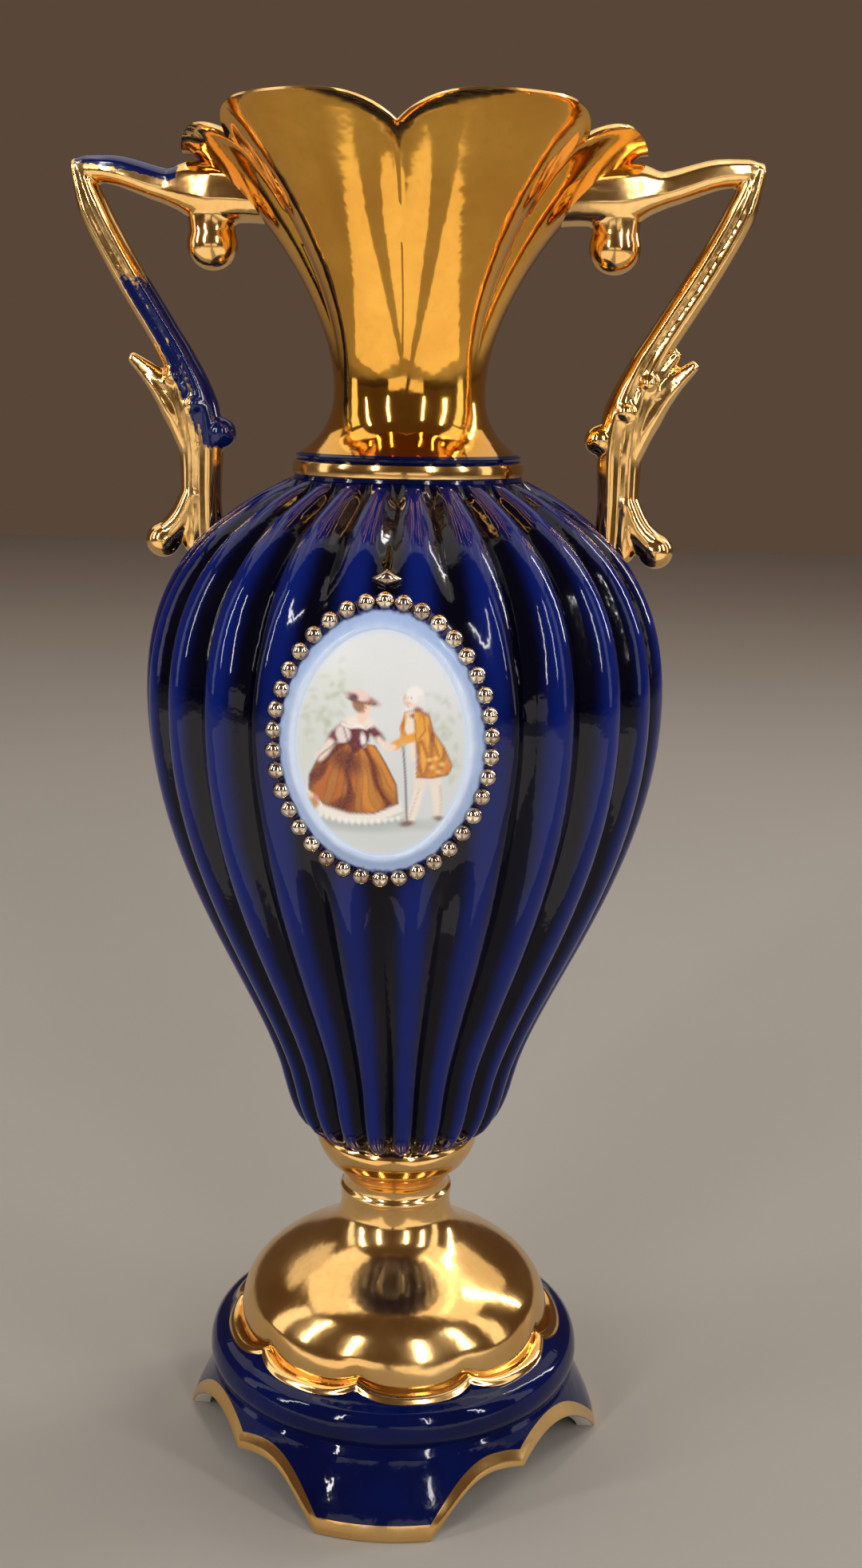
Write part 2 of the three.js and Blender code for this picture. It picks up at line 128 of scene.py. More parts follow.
# Where cobalt begins on the left handle. On the arm: distances out, and its level there. On the post:
# levels, and its place across there.
ARM_EDGE = ([62, 70, 84, 97], [383.5, 384.5, 388, 389.5])
POST_EDGE = ([300, 318, 334, 352, 376], [-58, -62, -69, -81, -92])

# Levels that follow
DISC_TOP = SKIRT_HEIGHT + DISC_HEIGHT
DOME_TOP = DISC_TOP + DOME_HEIGHT
BODY_BASE = DOME_TOP + RINGS_HEIGHT
BODY_TOP = BODY_BASE + BODY_HEIGHT
COLLAR_TOP = BODY_TOP + COLLAR_HEIGHT
MOUTH = COLLAR_TOP + NECK_HEIGHT
OVAL_CENTRE = BODY_BASE + OVAL_HEIGHT_ON_BODY
BORE_RADIUS = WAIST_RADIUS - NECK_WALL


def clamp(value, low=0.0, high=1.0):
    return max(low, min(high, value))


def smooth(value, low, high):
    share = clamp((value - low) / (high - low))
    return share * share * (3 - 2 * share)


def mix(a, b, share):
    return a + (b - a) * share


# Camera and light


def make_camera():
    """The photograph's place and angle: a short way to the right of the front, a little above the middle."""
    data = bpy.data.cameras.new("camera")
    data.sensor_width = 36
    data.lens = 39.8
    data.shift_x = 0.018
    data.clip_start = 0.01
    camera = bpy.data.objects.new("camera", data)
    bpy.context.scene.collection.objects.link(camera)
    bpy.context.scene.camera = camera
    side, pitch, roll = math.radians(4.47), math.radians(12.66), 0.0173
    distance, height = 0.511, 0.327
    camera.location = (distance * math.sin(side), -distance * math.cos(side), height)
    aim = Matrix.Rotation(side, 4, "Z") @ Matrix.Rotation(math.pi / 2 - pitch, 4, "X")
    camera.rotation_euler = (aim @ Matrix.Rotation(roll, 4, "Z")).to_euler()


def make_light(name, place, size, glow, colour, target):
    """A soft panel that faces the target, out of the picture. The glow is its brightness in the glaze."""
    data = bpy.data.lights.new(name, "AREA")
    data.shape = "RECTANGLE"
    data.size, data.size_y = size
    data.energy = glow * math.pi * size[0] * size[1]
    data.color = colour
    light = bpy.data.objects.new(name, data)
    bpy.context.scene.collection.objects.link(light)
    light.location = place
    light.rotation_euler = (Vector(target) - Vector(place)).to_track_quat("-Z", "Y").to_euler()
    light.visible_camera = False


def make_studio():
    """Panels overhead and behind, tall strips to the sides, and low cards in front, in a dim warm room."""
    warm, cool = (1, 0.93, 0.83), (1, 0.97, 0.94)
    make_light("ceiling panel", (0.1, 0.45, 2.4), (4.4, 1.7), 1.25, warm, (0.1, 0.45, 0))
    make_light("rear panel", (0, 2.2, 2.4), (6.0, 1.8), 0.8, warm, (0, 2.2, 0))
    for x in (-0.75, 0.2, 1.1):
        make_light("ceiling lamp", (x, 0.4, 2.3), (0.2, 1.3), 1.0, warm, (x, 0.4, 0))
    strips = ((-1.75, -0.9, 34), (-1.0, -1.9, 46), (0.95, -1.95, 40), (1.7, -1.0, 34), (1.5, 0.8, 34))
    for x, y, glow in strips:
        make_light("side strip", (x, y, 1.25), (0.08, 1.5), glow, cool, (0, 0, 0.25))
    for x in (-1.6, 1.6):
        make_light("side wall", (x, -0.1, 0.8), (0.35, 1.4), 1.4, cool, (0, 0, 0.3))
    for x, width in ((-0.72, 1.2), (0.66, 1.05)):
        make_light("front card", (x, -2.6, 0.16), (width, 0.32), 1.1, warm, (x, 0, 0.35))
    for x, width in ((-0.60, 1.08), (0.56, 0.96)):
        make_light("floor card", (x, -0.70, 0.01), (width, 1.1), 0.72, warm, (x, -0.70, 1))
    world = bpy.data.worlds.new("studio")
    world.use_nodes = True
    world.node_tree.nodes["Background"].inputs["Color"].default_value = (0.098, 0.063, 0.040, 1)
    world.node_tree.nodes["Background"].inputs["Strength"].default_value = 1
    bpy.context.scene.world = world
    bpy.context.scene.view_settings.view_transform = "Standard"

    bpy.ops.object.select_all(action="DESELECT")
    bpy.ops.mesh.primitive_plane_add(size=1)
    floor = bpy.context.object
    floor.name = "floor"
    for corner in floor.data.vertices:
        corner.co.x *= 12
        corner.co.y = corner.co.y * 9 - 1.1
    floor.data.materials.append(floor_finish())


# Finishes


class Nodes:
    """A short way to write a material's node tree."""

    def __init__(self, name):
        self.material = bpy.data.materials.new(name)
        self.material.use_nodes = True
        self.tree = self.material.node_tree
        self.shader = self.tree.nodes["Principled BSDF"]
        self.place = self.add("ShaderNodeTexCoord").outputs["Object"]

    def add(self, kind, **settings):
        node = self.tree.nodes.new(kind)
        for key, value in settings.items():
            setattr(node, key, value)
        return node

    def put(self, value, socket):
        if isinstance(value, bpy.types.NodeSocket):
            self.tree.links.new(value, socket)
        else:
            socket.default_value = value

    def math(self, operation, a, b=0.0):
        node = self.add("ShaderNodeMath", operation=operation)
        self.put(a, node.inputs[0])
        self.put(b, node.inputs[1])
        return node.outputs[0]

    def range(self, value, low, high, out_low=0.0, out_high=1.0):
        node = self.add("ShaderNodeMapRange", interpolation_type="SMOOTHSTEP")
        for socket, number in zip(node.inputs, (value, low, high, out_low, out_high)):
            self.put(number, socket)
        return node.outputs[0]

    def noise(self, scale, detail, roughness):
        node = self.add("ShaderNodeTexNoise")
        self.put(self.place, node.inputs["Vector"])
        node.inputs["Scale"].default_value = scale
        node.inputs["Detail"].default_value = detail
        node.inputs["Roughness"].default_value = roughness
        return node.outputs["Fac"]

    def blend(self, share, a, b):
        node = self.add("ShaderNodeMix", data_type="RGBA")
        self.put(share, node.inputs[0])
        self.put(a, node.inputs[6])
        self.put(b, node.inputs[7])
        return node.outputs[2]

    def parts(self):
        return self.add_linked("ShaderNodeSeparateXYZ", self.place).outputs

    def add_linked(self, kind, value):
        node = self.add(kind)
        self.put(value, node.inputs[0])
        return node

    def bump(self, height, strength, distance):
        node = self.add("ShaderNodeBump")
        node.inputs["Strength"].default_value = strength
        node.inputs["Distance"].default_value = distance
        self.put(height, node.inputs["Height"])
        self.put(node.outputs["Normal"], self.shader.inputs["Normal"])

    def set(self, **values):
        for name, value in values.items():
            self.put(value, self.shader.inputs[name.replace("_", " ")])


def cobalt_finish():
    """Deep cobalt glaze, lighter on the rib tips and near black in the valleys: partly glaze that runs thin
    on the tips and pools in the valleys, partly painted shade in the valleys.
    """
    n = Nodes("cobalt glaze")
    x, y, z = n.parts()
    back = n.math("MULTIPLY", y, -1.0)
    turn = n.math("MULTIPLY", n.math("ARCTAN2", x, back), float(RIB_COUNT))
    ridge = n.math("MULTIPLY", n.math("ADD", n.math("COSINE", n.math("ADD", turn, math.pi)), 1.0), 0.5)
    on_body = n.math(
        "MULTIPLY",
        n.range(z, (BODY_BASE - 1) * MM, (BODY_BASE + 4) * MM),
        n.range(z, (BODY_TOP + 1) * MM, (BODY_TOP - 3) * MM),
    )
    # Painted shade: the colour darkens towards each rib valley, on top of the glaze's own pooling there.
    thin = n.math("ADD", n.math("MULTIPLY", n.math("SUBTRACT", ridge, 0.5), on_body), 0.5)
    cloud = n.noise(38, 4, 0.55)
    thin = n.math("ADD", n.math("MULTIPLY", thin, 0.8), n.math("MULTIPLY", cloud, 0.4))
    colour = n.blend(n.range(thin, 0.3, 1.1), (0.0004, 0.0006, 0.005, 1), (0.0022, 0.0100, 0.125, 1))
    specks = n.range(n.noise(900, 2, 0.6), 0.70, 0.80)
    colour = n.blend(n.math("MULTIPLY", specks, 0.25), colour, (0.02, 0.03, 0.2, 1))
    n.set(Base_Color=colour, Roughness=n.range(n.noise(60, 3, 0.5), 0.3, 0.7, 0.05, 0.10), IOR=1.34)
    n.bump(n.noise(110, 3, 0.5), 0.22, 0.0009)
    return n.material


def gold_finish(name, thick, thin, low, high):
    """Gold lustre fired on the glaze: a mirror that waves a little, browner where it lies thick. The mesh
    says where the lustre gives way to cobalt."""
    n = Nodes(name)
    cloud = n.range(n.noise(26, 4, 0.6), 0.35, 0.7)
    fine = n.range(n.noise(420, 3, 0.6), 0.45, 0.75)
    colour = n.blend(cloud, thick, thin)
    colour = n.blend(n.math("MULTIPLY", fine, 0.2), colour, (0.62, 0.30, 0.05, 1))
    blue = n.add("ShaderNodeAttribute", attribute_name="blue").outputs["Fac"]
    blue = n.range(n.math("ADD", blue, n.noise(500, 3, 0.6)), 0.9, 1.1)
    colour = n.blend(blue, colour, (0.0016, 0.006, 0.070, 1))
    n.set(Metallic=n.math("SUBTRACT", 1.0, blue))
    n.set(Base_Color=colour, Roughness=n.range(cloud, 0.0, 1.0, low, high))
    n.bump(n.noise(75, 3, 0.5), 0.22, 0.0009)
    return n.material


def worn_gold_finish():
    """Paler gold on the beads, going from dark brown to pale in random blotches."""
    n = Nodes("worn bead gold")
    cloud = n.range(n.noise(190, 4, 0.6), 0.35, 0.7)
    colour = n.blend(cloud, (0.34, 0.25, 0.20, 1), (0.86, 0.76, 0.60, 1))
    n.set(Base_Color=colour, Metallic=1.0, Roughness=n.range(cloud, 0.0, 1.0, 0.16, 0.08))
    n.bump(n.noise(380, 3, 0.6), 0.2, 0.0004)
    return n.material


def picture_finish():
    """The oval's painting, whose colours lie on the mesh, under a clear soft gloss."""
    n = Nodes("painted oval")
    paint = n.add("ShaderNodeAttribute", attribute_name="paint").outputs["Color"]
    grain = n.noise(1500, 2, 0.6)
    colour = n.blend(n.range(grain, 0.3, 0.9, 0.0, 0.10), paint, (0.55, 0.5, 0.45, 1))
    n.set(Base_Color=colour, Roughness=n.range(n.noise(90, 3, 0.5), 0.3, 0.7, 0.3, 0.42), IOR=1.4)
    n.bump(n.noise(300, 3, 0.5), 0.08, 0.0004)
    return n.material


def band_finish():
    """Pale blue enamel round the picture, deeper towards the beads."""
    n = Nodes("pale blue enamel")
    x, y, z = n.parts()
    back = n.math("MULTIPLY", y, -1.0)
    side = n.math("MULTIPLY", n.math("ARCTAN2", x, back), BODY_RADIUS)
    side = n.math("DIVIDE", side, BEAD_OVAL_HALF_WIDTH)
    up = n.math("DIVIDE", n.math("SUBTRACT", z, OVAL_CENTRE * MM), BEAD_OVAL_HALF_HEIGHT * MM)
    away = n.math("SQRT", n.math("ADD", n.math("MULTIPLY", side, side), n.math("MULTIPLY", up, up)))
    ragged = n.math("ADD", away, n.math("MULTIPLY", n.noise(260, 3, 0.6), 0.07))
    colour = n.blend(n.range(ragged, 0.80, 0.93), (0.60, 0.69, 0.84, 1), (0.33, 0.45, 0.72, 1))
    colour = n.blend(n.range(ragged, 0.955, 0.99), colour, (0.004, 0.008, 0.11, 1))
    n.set(Base_Color=colour, Roughness=n.range(n.noise(90, 3, 0.5), 0.3, 0.7, 0.10, 0.18), IOR=1.4)
    n.bump(n.noise(200, 3, 0.5), 0.08, 0.0005)
    return n.material


def ivory_finish():
    """Clear glaze on the white body, inside the vase and under the foot."""
    n = Nodes("ivory glaze")
    cloud = n.range(n.noise(45, 4, 0.6), 0.3, 0.75)
    colour = n.blend(cloud, (0.72, 0.68, 0.60, 1), (0.80, 0.77, 0.70, 1))
    specks = n.range(n.noise(700, 2, 0.6), 0.68, 0.78)
    colour = n.blend(n.math("MULTIPLY", specks, 0.4), colour, (0.35, 0.28, 0.2, 1))
    n.set(Base_Color=colour, Roughness=n.range(n.noise(80, 3, 0.5), 0.3, 0.7, 0.15, 0.28), IOR=1.5)
    n.bump(n.noise(160, 3, 0.5), 0.1, 0.0005)
    return n.material


def floor_finish():
    """A plain pale floor, with painted shade that darkens it towards the back."""
    n = Nodes("pale floor")
    cloud = n.range(n.noise(1.3, 3, 0.5), 0.3, 0.7)
    colour = n.blend(cloud, (0.305, 0.290, 0.268, 1), (0.322, 0.306, 0.284, 1))
    # Painted shade: the floor's colour darkens towards the back, where less light reaches it.
    back = n.range(n.math("ADD", n.parts()[1], n.math("MULTIPLY", cloud, 0.1)), 0.4, 2.8)
    colour = n.blend(back, colour, (0.215, 0.178, 0.156, 1))
    n.set(Base_Color=colour, Roughness=n.range(cloud, 0.0, 1.0, 0.55, 0.65), Specular_IOR_Level=0.1)
    return n.material


COBALT, GOLD, PICTURE, BAND, IVORY, WORN, AMBER = range(7)
FINISHES = [
    cobalt_finish(),
    gold_finish("pale gold lustre", (0.82, 0.49, 0.17, 1), (0.93, 0.62, 0.26, 1), 0.12, 0.18),
    picture_finish(),
    band_finish(),
    ivory_finish(),
    worn_gold_finish(),
    gold_finish("amber gold lustre", (0.78, 0.38, 0.060, 1), (0.92, 0.50, 0.085, 1), 0.07, 0.12),
]


# Making forms


def bezier(corners, share):
    """A point of a curve of four corners, and the way along it there."""
    a, b, c, d = (Vector(corner) for corner in corners)
    s, t = share, 1 - share
    point = a * t**3 + b * (3 * s * t * t) + c * (3 * s * s * t) + d * s**3
    along = (b - a) * t * t + (c - b) * (2 * s * t) + (d - c) * s * s
    return point, along.normalized()


def along_bezier(corners, count):
    """Points at even steps along a curve, each with the way along it."""
    fine = 400
    points = [bezier(corners, i / fine)[0] for i in range(fine + 1)]
    lengths = np.cumsum([0] + [(q - p).length for p, q in zip(points, points[1:])])
    shares = np.interp(np.linspace(0, lengths[-1], count + 1), lengths, np.linspace(0, 1, fine + 1))
    return [bezier(corners, float(share)) for share in shares]


def loft(name, sides, rows, place, paint):
    """A ring of points extruded row by row. place(row, turn) says where a point of a row goes, and
    paint(row) which finish the faces have that begin there. Rows that meet in one point close the form."""
    bpy.ops.object.select_all(action="DESELECT")
    bpy.ops.mesh.primitive_circle_add(vertices=sides, radius=1)
    piece = bpy.context.object
    piece.name = name
    for finish in FINISHES:
        piece.data.materials.append(finish)
    bpy.ops.object.mode_set(mode="EDIT")
    mesh = bmesh.from_edit_mesh(piece.data)
    mesh.verts.layers.int.new("step")
    mesh.verts.layers.int.new("row")
    step = mesh.verts.layers.int["step"]
    for i, corner in enumerate(mesh.verts):
        corner[step] = i
    for row in range(rows):
        if row:
            bpy.ops.mesh.extrude_region_move()
            mesh = bmesh.from_edit_mesh(piece.data)
        step, level = mesh.verts.layers.int["step"], mesh.verts.layers.int["row"]
        for corner in mesh.verts:
            if corner.select:
                corner[level] = row
                corner.co = place(row, TAU * corner[step] / sides) * MM
    for face in mesh.faces:
        face.material_index = paint(min(corner[level] for corner in face.verts))
    mesh.verts.layers.int.remove(mesh.verts.layers.int["step"])
    mesh.verts.layers.int.remove(mesh.verts.layers.int["row"])
    bmesh.update_edit_mesh(piece.data)
    bpy.ops.mesh.select_all(action="SELECT")
    bpy.ops.mesh.remove_doubles(threshold=2e-6)
    bpy.ops.mesh.normals_make_consistent(inside=False)
    bpy.ops.object.mode_set(mode="OBJECT")
    return piece


def turned(name, rows, sides):
    """A form turned on a wheel. Each row is (a function from angle to radius and height, finish)."""

    def place(row, turn):
        radius, height = rows[row][0](turn)
        return Vector((radius * math.sin(turn), -radius * math.cos(turn), height))

    return loft(name, sides, len(rows), place, lambda row: rows[row][1])


def ring(radius, height):
    return lambda turn: (radius, height)


def from_middle(turn, count, start=0.0):
    """0 in the middle of each of a number of equal sectors, 1 on the lines between them."""
    share = (turn - start) * count / TAU
    return abs(2 * (share - math.floor(share)) - 1)


def pick(piece):
    bpy.ops.object.select_all(action="DESELECT")
    bpy.context.view_layer.objects.active = piece
    piece.select_set(True)


def coat(piece, finish):
    """Gives a piece all the finishes and lays one of them on every face."""
    if not piece.data.materials:
        for material in FINISHES:
            piece.data.materials.append(material)
    for face in piece.data.polygons:
        face.material_index = finish


def combine(whole, piece, operation="UNION"):
    """Joins a closed form to another as one skin, or cuts it away."""
    pick(whole)
    cut = whole.modifiers.new("combine", "BOOLEAN")
    cut.solver = "MANIFOLD"
    cut.operation = operation
    cut.object = piece
    bpy.ops.object.modifier_apply(modifier="combine")
    bpy.data.objects.remove(piece)
    return whole


# Foot

SKIRT = [
    (FOOT_RADIUS, 0),
    (FOOT_RADIUS - 1, 8),
    (GROOVE_RADIUS + 3, SKIRT_HEIGHT - 9),
    (GROOVE_RADIUS + 0.6, SKIRT_HEIGHT),
]
SKIRT_LINE = [bezier(SKIRT, i / 200)[0] for i in range(201)]


def skirt_radius(height):
    return float(np.interp(height, [p.y for p in SKIRT_LINE], [p.x for p in SKIRT_LINE]))


def half_arch(away, width, height):
    """Half an arch climbs from a foot and comes down to its pendant."""
    share = clamp(away / width)
    climb = 1 - (1 - min(1, share * 1.5)) ** 2
    drop = max(0, share * 3 - 2)
    return height * climb - (height - PENDANT_HEIGHT) * drop**2


def edge_height(turn):
    """The lower edge: flat under each foot, an arch with a small pendant between two feet."""
    turned_by = math.degrees(abs(math.atan2(math.sin(turn), math.cos(turn))))
    side_front = SIDE_FOOT_ANGLE - FOOT_HALF_ANGLE
    side_back = SIDE_FOOT_ANGLE + FOOT_HALF_ANGLE
    back = 180 - FOOT_HALF_ANGLE
    if turned_by < FRONT_PENDANT_ANGLE:
        width = FRONT_PENDANT_ANGLE - FOOT_HALF_ANGLE
        return half_arch(turned_by - FOOT_HALF_ANGLE, width, NEAR_ARCH_HEIGHT)
    if turned_by < SIDE_FOOT_ANGLE:
        return half_arch(side_front - turned_by, side_front - FRONT_PENDANT_ANGLE, WIDE_ARCH_HEIGHT)
    if turned_by < BACK_PENDANT_ANGLE:
        return half_arch(turned_by - side_back, BACK_PENDANT_ANGLE - side_back, NEAR_ARCH_HEIGHT)
    return half_arch(back - turned_by, back - BACK_PENDANT_ANGLE, NEAR_ARCH_HEIGHT)


def make_base():
    def inner(share):
        def row(turn):
            low = edge_height(turn)
            height = low + share * (SKIRT_HEIGHT - low)
            return skirt_radius(height) - FOOT_WALL, height

        return row

    def near_edge(up, inward=0.0):
        def row(turn):
            height = edge_height(turn) + up
            return skirt_radius(height) - inward, height

        return row

    def outer(share):
        def row(turn):
            low = edge_height(turn) + BAND_HEIGHT
            height = low + share * (SKIRT_HEIGHT - 1 - low)
            return skirt_radius(height), height

        return row

    def scallop(inward, raised):
        def row(turn):
            notch = from_middle(turn, SCALLOP_COUNT, SCALLOP_TURN) ** 3
            deep = SCALLOP_DEPTH * notch
            return LIP_RADIUS - deep - inward, DISC_TOP + deep + raised

        return row

    rows = [
        (ring(0, SKIRT_HEIGHT), IVORY),
        (inner(1), IVORY),
        (inner(0.5), IVORY),
        (inner(0), IVORY),
        (near_edge(0, 1.0), GOLD),
        (near_edge(0.35, 0.25), GOLD),
        (near_edge(1.0), GOLD),
        (near_edge(2.5), GOLD),
        (near_edge(4.0), GOLD),
        (outer(0), COBALT),
    ]
    rows += [(outer(i / 10), COBALT) for i in range(1, 11)]
    groove = [(0.3, -0.4), (0, 0.4), (0.35, 1.2)]
    rows += [(ring(GROOVE_RADIUS + out, SKIRT_HEIGHT + up), COBALT) for out, up in groove]
    disc = [
        (0.9, 10.2), (0.25, 8.9), (0, 7.5), (0.1, 5.9), (0.45, 4.2),
        (1.1, 2.5), (2, 1.3), (3.3, 0.5), (4.6, 0.1),
    ]
    rows += [(ring(DISC_RADIUS - inward, DISC_TOP - down), COBALT) for inward, down in disc]
    lip = [
        (-0.5, 0.2), (-0.2, 0.7), (0.1, 1.3), (0.8, 1.9),
        (1.7, 2.1), (2.6, 1.9), (3.4, 1.5), (LIP_WIDTH + 1.1, 1.4),
    ]
    rows += [(scallop(inward, raised), GOLD) for inward, raised in lip]
    rows += [(ring(0, DISC_TOP), GOLD)]
    return turned("foot", rows, 360)


def make_stem():
    """The gold dome, whose foot follows the scallops, the stem and its two rings."""
    dome = [
        (LIP_RADIUS - LIP_WIDTH - 0.8, DISC_TOP + SCALLOP_DEPTH - 1),
        (LIP_RADIUS - 2.6, DISC_TOP + DOME_HEIGHT * 0.65),
        (STEM_RADIUS + 2.7, DISC_TOP + DOME_HEIGHT * 0.62),
        (STEM_RADIUS, DOME_TOP),
    ]

    def draped(radius, height):
        low = clamp((DISC_TOP + 12 - height) / 12)

        def row(turn):
            notch = from_middle(turn, SCALLOP_COUNT, SCALLOP_TURN) ** 3
            return radius - SCALLOP_DEPTH * notch * low**1.5, height + 0.6 * notch * low**3

        return row

    points = [tuple(point) for point, _ in along_bezier(dome, 44)]
    rows = [(ring(0, DISC_TOP - 2), GOLD), (draped(points[0][0], DISC_TOP - 2), GOLD)]
    rows += [(draped(*point), GOLD) for point in points]
    parts = [
        (STEM_RADIUS, DOME_TOP, [(0, 2.5), (0, 4.4)]),
        (BEAD_RING_RADIUS, DOME_TOP, [(-0.1, 5.2), (0, 5.8), (0, 6.4), (-0.2, 6.9)]),
        (STEM_RADIUS, DOME_TOP, [(-0.5, 7.3), (-0.8, 8), (-0.8, 9.5), (-0.5, 11), (0.4, 12.7)]),
        (CUP_RING_RADIUS, BODY_BASE, [
            (-5.4, -11.2), (-3.3, -9.6), (-1.7, -7.2), (-0.7, -5.2), (-0.1, -3.6),
            (0, -2.2), (-0.3, -0.8), (-0.9, 0.2), (-1.8, 0.6),
        ]),
    ]
    for radius, level, steps in parts:
        rows += [(ring(radius + out, level + up), GOLD) for out, up in steps]
    rows += [(ring(0, BODY_BASE + 3.5), GOLD)]
    return turned("stem", rows, 180)


def make_hollow():
    """The hollow under the disc and the dome."""
    width = GROOVE_RADIUS - FOOT_WALL - 4
    dome = [
        (0, DISC_TOP + DOME_HEIGHT * 0.6),
        (STEM_RADIUS + 4, DISC_TOP + DOME_HEIGHT * 0.58),
        (width - 6, DISC_TOP + 8),
        (width, SKIRT_HEIGHT + 4),
    ]
    outline = [tuple(point) for point, _ in along_bezier(dome, 16)]
    outline += [(width, SKIRT_HEIGHT - 2), (0, SKIRT_HEIGHT - 2)]
    return turned("hollow", [(ring(*point), IVORY) for point in outline[::-1]], 72)


# Body

BODY_CURVES = [
    (7, [
        (CUP_RING_RADIUS - 0.8, BODY_BASE + 0.6),
        (CUP_RING_RADIUS + 6, BODY_BASE + 1.4),
        (CUP_RING_RADIUS + 9.5, BODY_BASE + 11),
        (CUP_RING_RADIUS + 11.5, BODY_BASE + 20),
    ]),
    (22, [
        (CUP_RING_RADIUS + 11.5, BODY_BASE + 20),
        (CUP_RING_RADIUS + 18, BODY_BASE + BODY_HEIGHT * 0.24),
        (BODY_RADIUS, BODY_BASE + BODY_HEIGHT * 0.44),
        (BODY_RADIUS, BODY_BASE + BODY_HEIGHT * 0.685),
    ]),
    (24, [
        (BODY_RADIUS, BODY_BASE + BODY_HEIGHT * 0.685),
        (BODY_RADIUS, BODY_BASE + BODY_HEIGHT * 0.86),
        (BODY_RADIUS * 0.785, BODY_BASE + BODY_HEIGHT * 0.94),
        (COLLAR_RADIUS + 0.8, BODY_TOP),
    ]),
]


def body_outline():
    """Points along the rib tips: radius, height, and the way out of the surface."""
    points = []
    for count, corners in BODY_CURVES:
        for point, along in along_bezier(corners, count)[1 if points else 0:]:
            points.append((point.x, point.y, along.y, -along.x))
    return points


OUTLINE = body_outline()
OUTLINE_HEIGHTS = [point[1] for point in OUTLINE]
OUTLINE_RADII = [point[0] for point in OUTLINE]


def body_radius(height):
    return float(np.interp(height, OUTLINE_HEIGHTS, OUTLINE_RADII))


def rib_drop(turn, height):
    """How far the surface lies below the rib tips: round ridges with soft valleys, none round the oval."""
    side = math.atan2(math.sin(turn), math.cos(turn)) * BODY_RADIUS
    across = side / (BEAD_OVAL_HALF_WIDTH + FIELD_MARGIN)
    upward = (height - OVAL_CENTRE) / (BEAD_OVAL_HALF_HEIGHT + FIELD_MARGIN)
    away = math.hypot(across, upward) - 1
    fade = smooth(away * (BEAD_OVAL_HALF_WIDTH + FIELD_MARGIN), -1, FIELD_FADE)
    middle = from_middle(turn, RIB_COUNT)
    valley = (middle**2 - 0.18 * middle**10) / 0.82
    narrowing = 0.35 + 0.65 * (body_radius(height) / BODY_RADIUS)
    return RIB_DEPTH * narrowing * (valley * fade + 0.35 * (1 - fade))


def make_body():
    def rib_row(radius, height, out, up):
        def row(turn):
            drop = rib_drop(turn, height)
            return radius - drop * out, height - drop * up

        return row

    rows = [
        (ring(0, BODY_BASE - 1), COBALT),
        (ring(CUP_RING_RADIUS - 2.3, BODY_BASE - 1), COBALT),
        (ring(CUP_RING_RADIUS - 0.8, BODY_BASE + 0.6), COBALT),
    ]
    rows += [(rib_row(*point), COBALT) for point in OUTLINE[1:-1]]
    rows += [(ring(COLLAR_RADIUS + 0.8, BODY_TOP), COBALT), (ring(0, BODY_TOP + 1), COBALT)]
    return turned("body", rows, RIB_COUNT * 12)


def make_cavity():
    floor, ceiling = BODY_BASE + FLOOR_THICKNESS, BODY_TOP - BODY_WALL
    inset = BODY_WALL + RIB_DEPTH
    bore = BORE_RADIUS + 0.4
    outline = [(0, floor), (body_radius(floor) - inset - 4, floor + 0.5)]
    for radius, height, out, up in OUTLINE[::3]:
        inner, level = radius - inset * out, height - inset * up
        if floor + 2 < level < ceiling - 2 and inner > bore + 2:
            outline.append((inner, level))
    outline += [(bore, ceiling), (bore, BODY_TOP + 3), (0, BODY_TOP + 3)]
    return turned("cavity", [(ring(*point), IVORY) for point in outline], 72)


# Neck

WAIST = COLLAR_TOP + NECK_HEIGHT * 0.2
FLARE = [
    (COLLAR_RADIUS - 0.8, COLLAR_TOP + 0.8),
    (COLLAR_RADIUS - 5, COLLAR_TOP + 3),
    (WAIST_RADIUS, COLLAR_TOP + NECK_HEIGHT * 0.09),
    (WAIST_RADIUS, WAIST),
]
TRUMPET = [
    (WAIST_RADIUS, WAIST),
    (WAIST_RADIUS, COLLAR_TOP + NECK_HEIGHT * 0.45),
    (WAIST_RADIUS + (MOUTH_RADIUS - WAIST_RADIUS) * 0.44, COLLAR_TOP + NECK_HEIGHT * 0.73),
    (MOUTH_RADIUS, MOUTH),
]


def trumpet_row(share, thickness, lift):
    """The lobes deepen towards the rim, and the rim dips at the notches and at the handles."""
    point, along = bezier(TRUMPET, share)
    across = thickness * math.hypot(1, along.x / along.y)

    def row(turn):
        middle = from_middle(turn, LOBE_COUNT)
        lobe = LOBE_DEPTH * share**1.6 * middle**2.5
        notch = NOTCH_DROP * middle**3.5
        from_side = math.degrees(math.acos(clamp(abs(math.sin(turn)))))
        side = SIDE_DROP * math.exp(-((from_side / SIDE_SPREAD) ** 2))
        dip = (notch + side) * share**5
        return point.x - lobe - across, point.y - dip + lift

    return row


def make_throat():
    """The room inside the trumpet, out to the middle of its wall."""
    rows = [(ring(0, WAIST), IVORY)]
    rows += [(trumpet_row(i / 24, NECK_WALL / 2, 0), IVORY) for i in range(25)]
    rows += [(trumpet_row(1, NECK_WALL / 2, 12), IVORY), (ring(0, MOUTH + 12), IVORY)]
    return turned("throat", rows, LOBE_COUNT * 16)


